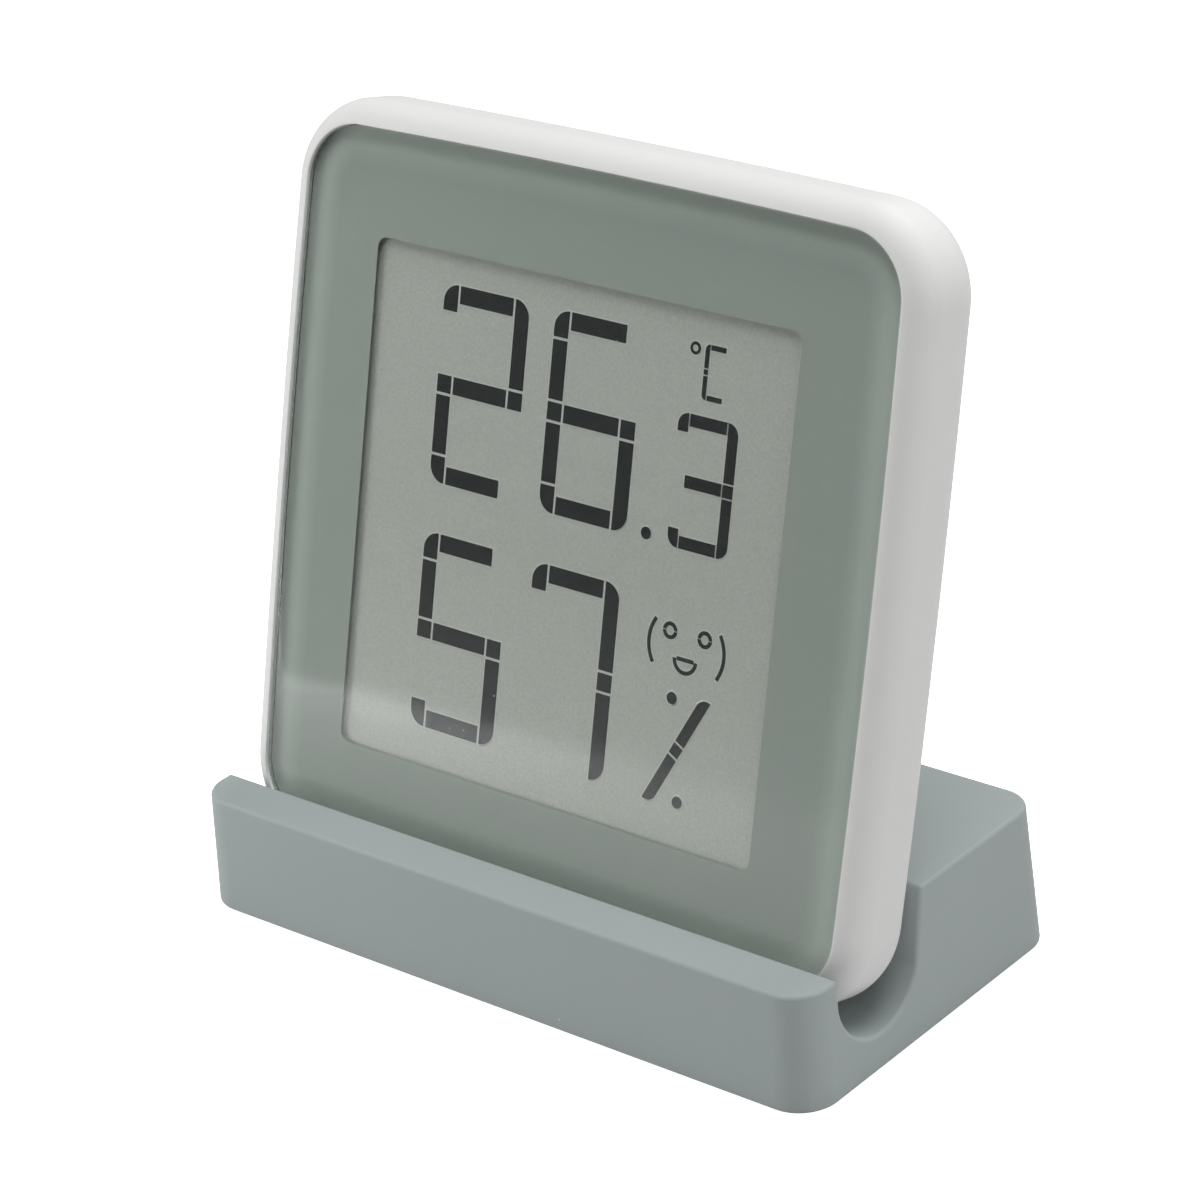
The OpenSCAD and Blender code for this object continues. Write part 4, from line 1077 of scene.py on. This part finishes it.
def print_mesh(sizes, case):
    """Printed border under the lens, with its window."""
    low, high = unit_box("lens_print")
    # Rings at the stops of the painted edge highlight, so that the inset attribute carries the distance for
    # it
    insets = [place * MM for place, _ in EDGE_PAINTED_LIGHT]
    outlines = [lens_outline(sizes, case, sizes.print_margin + inset) for inset in insets]
    film = unit_size("epaper_film").xy
    middle = unit_middle("epaper_film").xy
    margin = 2 * sizes.film_margin
    window = round_rectangle(film.x - margin, film.y - margin, sizes.window_corner)
    window = [point + middle for point in window]
    top = high.z + sizes.print_bond
    rings = [(outlines[0], low.z), *[(outline, top) for outline in outlines], (window, top), (window, low.z)]
    mesh = loft(rings, closed=True)
    places = [0.0, *insets, insets[-1], insets[-1]]
    mesh.attributes.new("inset", "FLOAT", "POINT").data.foreach_set("value", np.repeat(places, len(window)))
    mesh.transform(UNIT)
    return shaded(placed("border_sheet", mesh))


WELD = 0.001 * MM
SEGMENTS = ("temperature_digits", "humidity_digits", "unit_symbols", "comfort_face")


def halo_mesh(nodes, sizes):
    """Pale line round the shown segments: their solids grown along the film and flattened onto it."""
    build = bmesh.new()
    for node in nodes:
        build.from_mesh(NODES[node].data)
    bmesh.ops.transform(build, matrix=UNIT.inverted(), verts=build.verts)
    bmesh.ops.remove_doubles(build, verts=build.verts, dist=WELD)
    build.normal_update()
    base = unit_box("epaper_film")[1].z
    moves = []
    for vertex in build.verts:
        sides = [face.normal for face in vertex.link_faces if abs(face.normal.z) < 0.5]
        other = min(sides, key=sides[0].dot)
        moves.append((sides[0] + other) * sizes.halo / (1 + sides[0].dot(other)))
    middle = base + unit_size(nodes[0]).z / 2
    for vertex, move in zip(build.verts, moves):
        height = sizes.halo_height if vertex.co.z > middle else 0.0
        vertex.co = Vector((vertex.co.x + move.x, vertex.co.y + move.y, base + height))
    mesh = bpy.data.meshes.new("halo")
    build.to_mesh(mesh)
    build.free()
    mesh.transform(UNIT)
    return shaded(placed("segment_halo", mesh))


class SENSOR_OT_display(bpy.types.Operator):
    """Makes the lens and its printed border, and finishes the electronic paper"""

    bl_idname = "sensor.display"
    bl_label = "Display"

    def execute(self, context):
        scene = context.scene
        sizes, case, colours = scene.sensor_display, scene.sensor_case, scene.sensor_colours
        dressed(lens_mesh(sizes, case), clear_lens(), "display_unit", "lens_clear", "front_lens")
        dressed(print_mesh(sizes, case), border_print_and_edge_light(colours), "display_unit", "border_grey", "lens_print")
        paint("epaper_film", paper("paper_grey", colours.paper))
        pale = paper("halo_grey", colours.halo)
        dressed(halo_mesh(SEGMENTS, sizes), pale, "display_unit", "paper_grey")
        dark = ink(colours)
        for node in SEGMENTS:
            paint(node, dark)
        return {"FINISHED"}


class SENSOR_OT_inside(bpy.types.Operator):
    """Finishes the pieces inside the case"""

    bl_idname = "sensor.inside"
    bl_label = "Inside"

    def execute(self, context):
        for node, (name, base, roughness) in PLASTICS.items():
            paint(node, moulded(name, base, roughness)[0])
        for node, (name, base, roughness) in METALS.items():
            paint(node, metal(name, base, roughness))
        paint("circuit_board", solder_mask("board_green", BOARD_GREEN))
        paint("epaper_backplane", panel_glass())
        return {"FINISHED"}


# Stage

SENSOR_WIDTH = 36.0
FRAME_PIXELS = 1200.0
NEAR_CLIP = 0.01
FLOOR_REACH = 3.0
# Diameter of each lamp, its place from the part's middle, and whether mirror images show it
LAMPS = {
    "key": (0.5, (0.06, -0.04, 0.6), True),
    "left": (0.15, (-0.22, -0.17, 0.02), False),
    "right": (0.3, (0.45, 0.1, 0.15), True),
    "rear": (0.4, (0.0, 0.5, 0.5), True),
}


def camera_frame(studio):
    """Place and turn of the camera from its angles and the pixel of the aimed point."""
    azimuth, elevation, roll = studio.azimuth, studio.elevation, studio.roll
    ahead = Vector((
        -math.sin(azimuth) * math.cos(elevation),
        math.cos(azimuth) * math.cos(elevation),
        -math.sin(elevation),
    ))
    level = Vector((math.cos(azimuth), math.sin(azimuth), 0.0))
    upright = level.cross(ahead)
    right = level * math.cos(roll) + upright * math.sin(roll)
    up = upright * math.cos(roll) - level * math.sin(roll)
    pixels_per_slope = studio.focal / SENSOR_WIDTH * FRAME_PIXELS
    off = (Vector(studio.aim_pixel) - Vector((FRAME_PIXELS / 2, FRAME_PIXELS / 2))) / pixels_per_slope
    place = Vector(studio.aim) - studio.distance * (ahead + off.x * right - off.y * up)
    turn = Matrix((right, up, -ahead)).transposed().to_4x4()
    return Matrix.Translation(place) @ turn


def soft_light(name, energy, size, place, aim, mirrored):
    """Round soft lamp, which may be kept out of mirror images."""
    light = bpy.data.lights.new(name, "AREA")
    light.energy = energy
    light.shape = "DISK"
    light.size = size
    thing = bpy.data.objects.new(name, light)
    thing.location = place
    thing.rotation_euler = (Vector(aim) - Vector(place)).to_track_quat("-Z", "Y").to_euler()
    thing.visible_glossy = thing.visible_transmission = mirrored
    bpy.context.scene.collection.objects.link(thing)


class SENSOR_OT_stage(bpy.types.Operator):
    """Sets the floor, the light and the camera"""

    bl_idname = "sensor.stage"
    bl_label = "Stage"

    def execute(self, context):
        scene = context.scene
        studio = scene.sensor_studio
        corners = [(-1, -1), (1, -1), (1, 1), (-1, 1)]
        mesh = bpy.data.meshes.new("floor")
        mesh.from_pydata([(x * FLOOR_REACH, y * FLOOR_REACH, 0.0) for x, y in corners], [], [(0, 1, 2, 3)])
        floor = placed("floor", mesh)
        mesh.materials.append(pale_floor(scene.sensor_colours, studio))

        world = bpy.data.worlds.new("studio")
        world.use_nodes = True
        sky = world.node_tree.nodes["Background"].inputs
        sky["Color"].default_value = (1.0, 1.0, 1.0, 1.0)
        sky["Strength"].default_value = studio.sky
        scene.world = world
        middle = (CAD_BOX[0] + CAD_BOX[1]) / 2
        for name, (size, offset, mirrored) in LAMPS.items():
            energy = getattr(studio, f"{name}_power")
            soft_light(name, energy, size, middle + Vector(offset), middle, mirrored)

        lens = bpy.data.cameras.new("camera")
        lens.lens = studio.focal
        lens.sensor_width = SENSOR_WIDTH
        lens.clip_start = NEAR_CLIP
        camera = bpy.data.objects.new("camera", lens)
        camera.matrix_world = camera_frame(studio)
        scene.collection.objects.link(camera)
        scene.camera = camera
        scene.view_settings.view_transform = "Standard"
        return {"FINISHED"}


class SENSOR_PT_panel(bpy.types.Panel):
    """Lists the steps and the values"""

    bl_idname = "SENSOR_PT_panel"
    bl_label = "Desk sensor"
    bl_space_type = "VIEW_3D"
    bl_region_type = "UI"
    bl_category = "Sensor"

    def draw(self, context):
        for operator in OPERATORS:
            self.layout.operator(operator.bl_idname)
        for name, group in GROUPS.items():
            box = self.layout.box()
            for key in group.__annotations__:
                box.prop(getattr(context.scene, name), key)


OPERATORS = (SENSOR_OT_stage, SENSOR_OT_stand, SENSOR_OT_case, SENSOR_OT_display, SENSOR_OT_inside)
CLASSES = (*GROUPS.values(), *OPERATORS, SENSOR_PT_panel)


def register():
    for kind in CLASSES:
        bpy.utils.register_class(kind)
    for name, group in GROUPS.items():
        setattr(bpy.types.Scene, name, PointerProperty(type=group))


def unregister():
    for name in GROUPS:
        delattr(bpy.types.Scene, name)
    for kind in reversed(CLASSES):
        bpy.utils.unregister_class(kind)


def main():
    register()
    bpy.ops.sensor.stage()
    bpy.ops.sensor.stand()
    bpy.ops.sensor.case()
    bpy.ops.sensor.display()
    bpy.ops.sensor.inside()


if __name__ == "__main__":
    main()
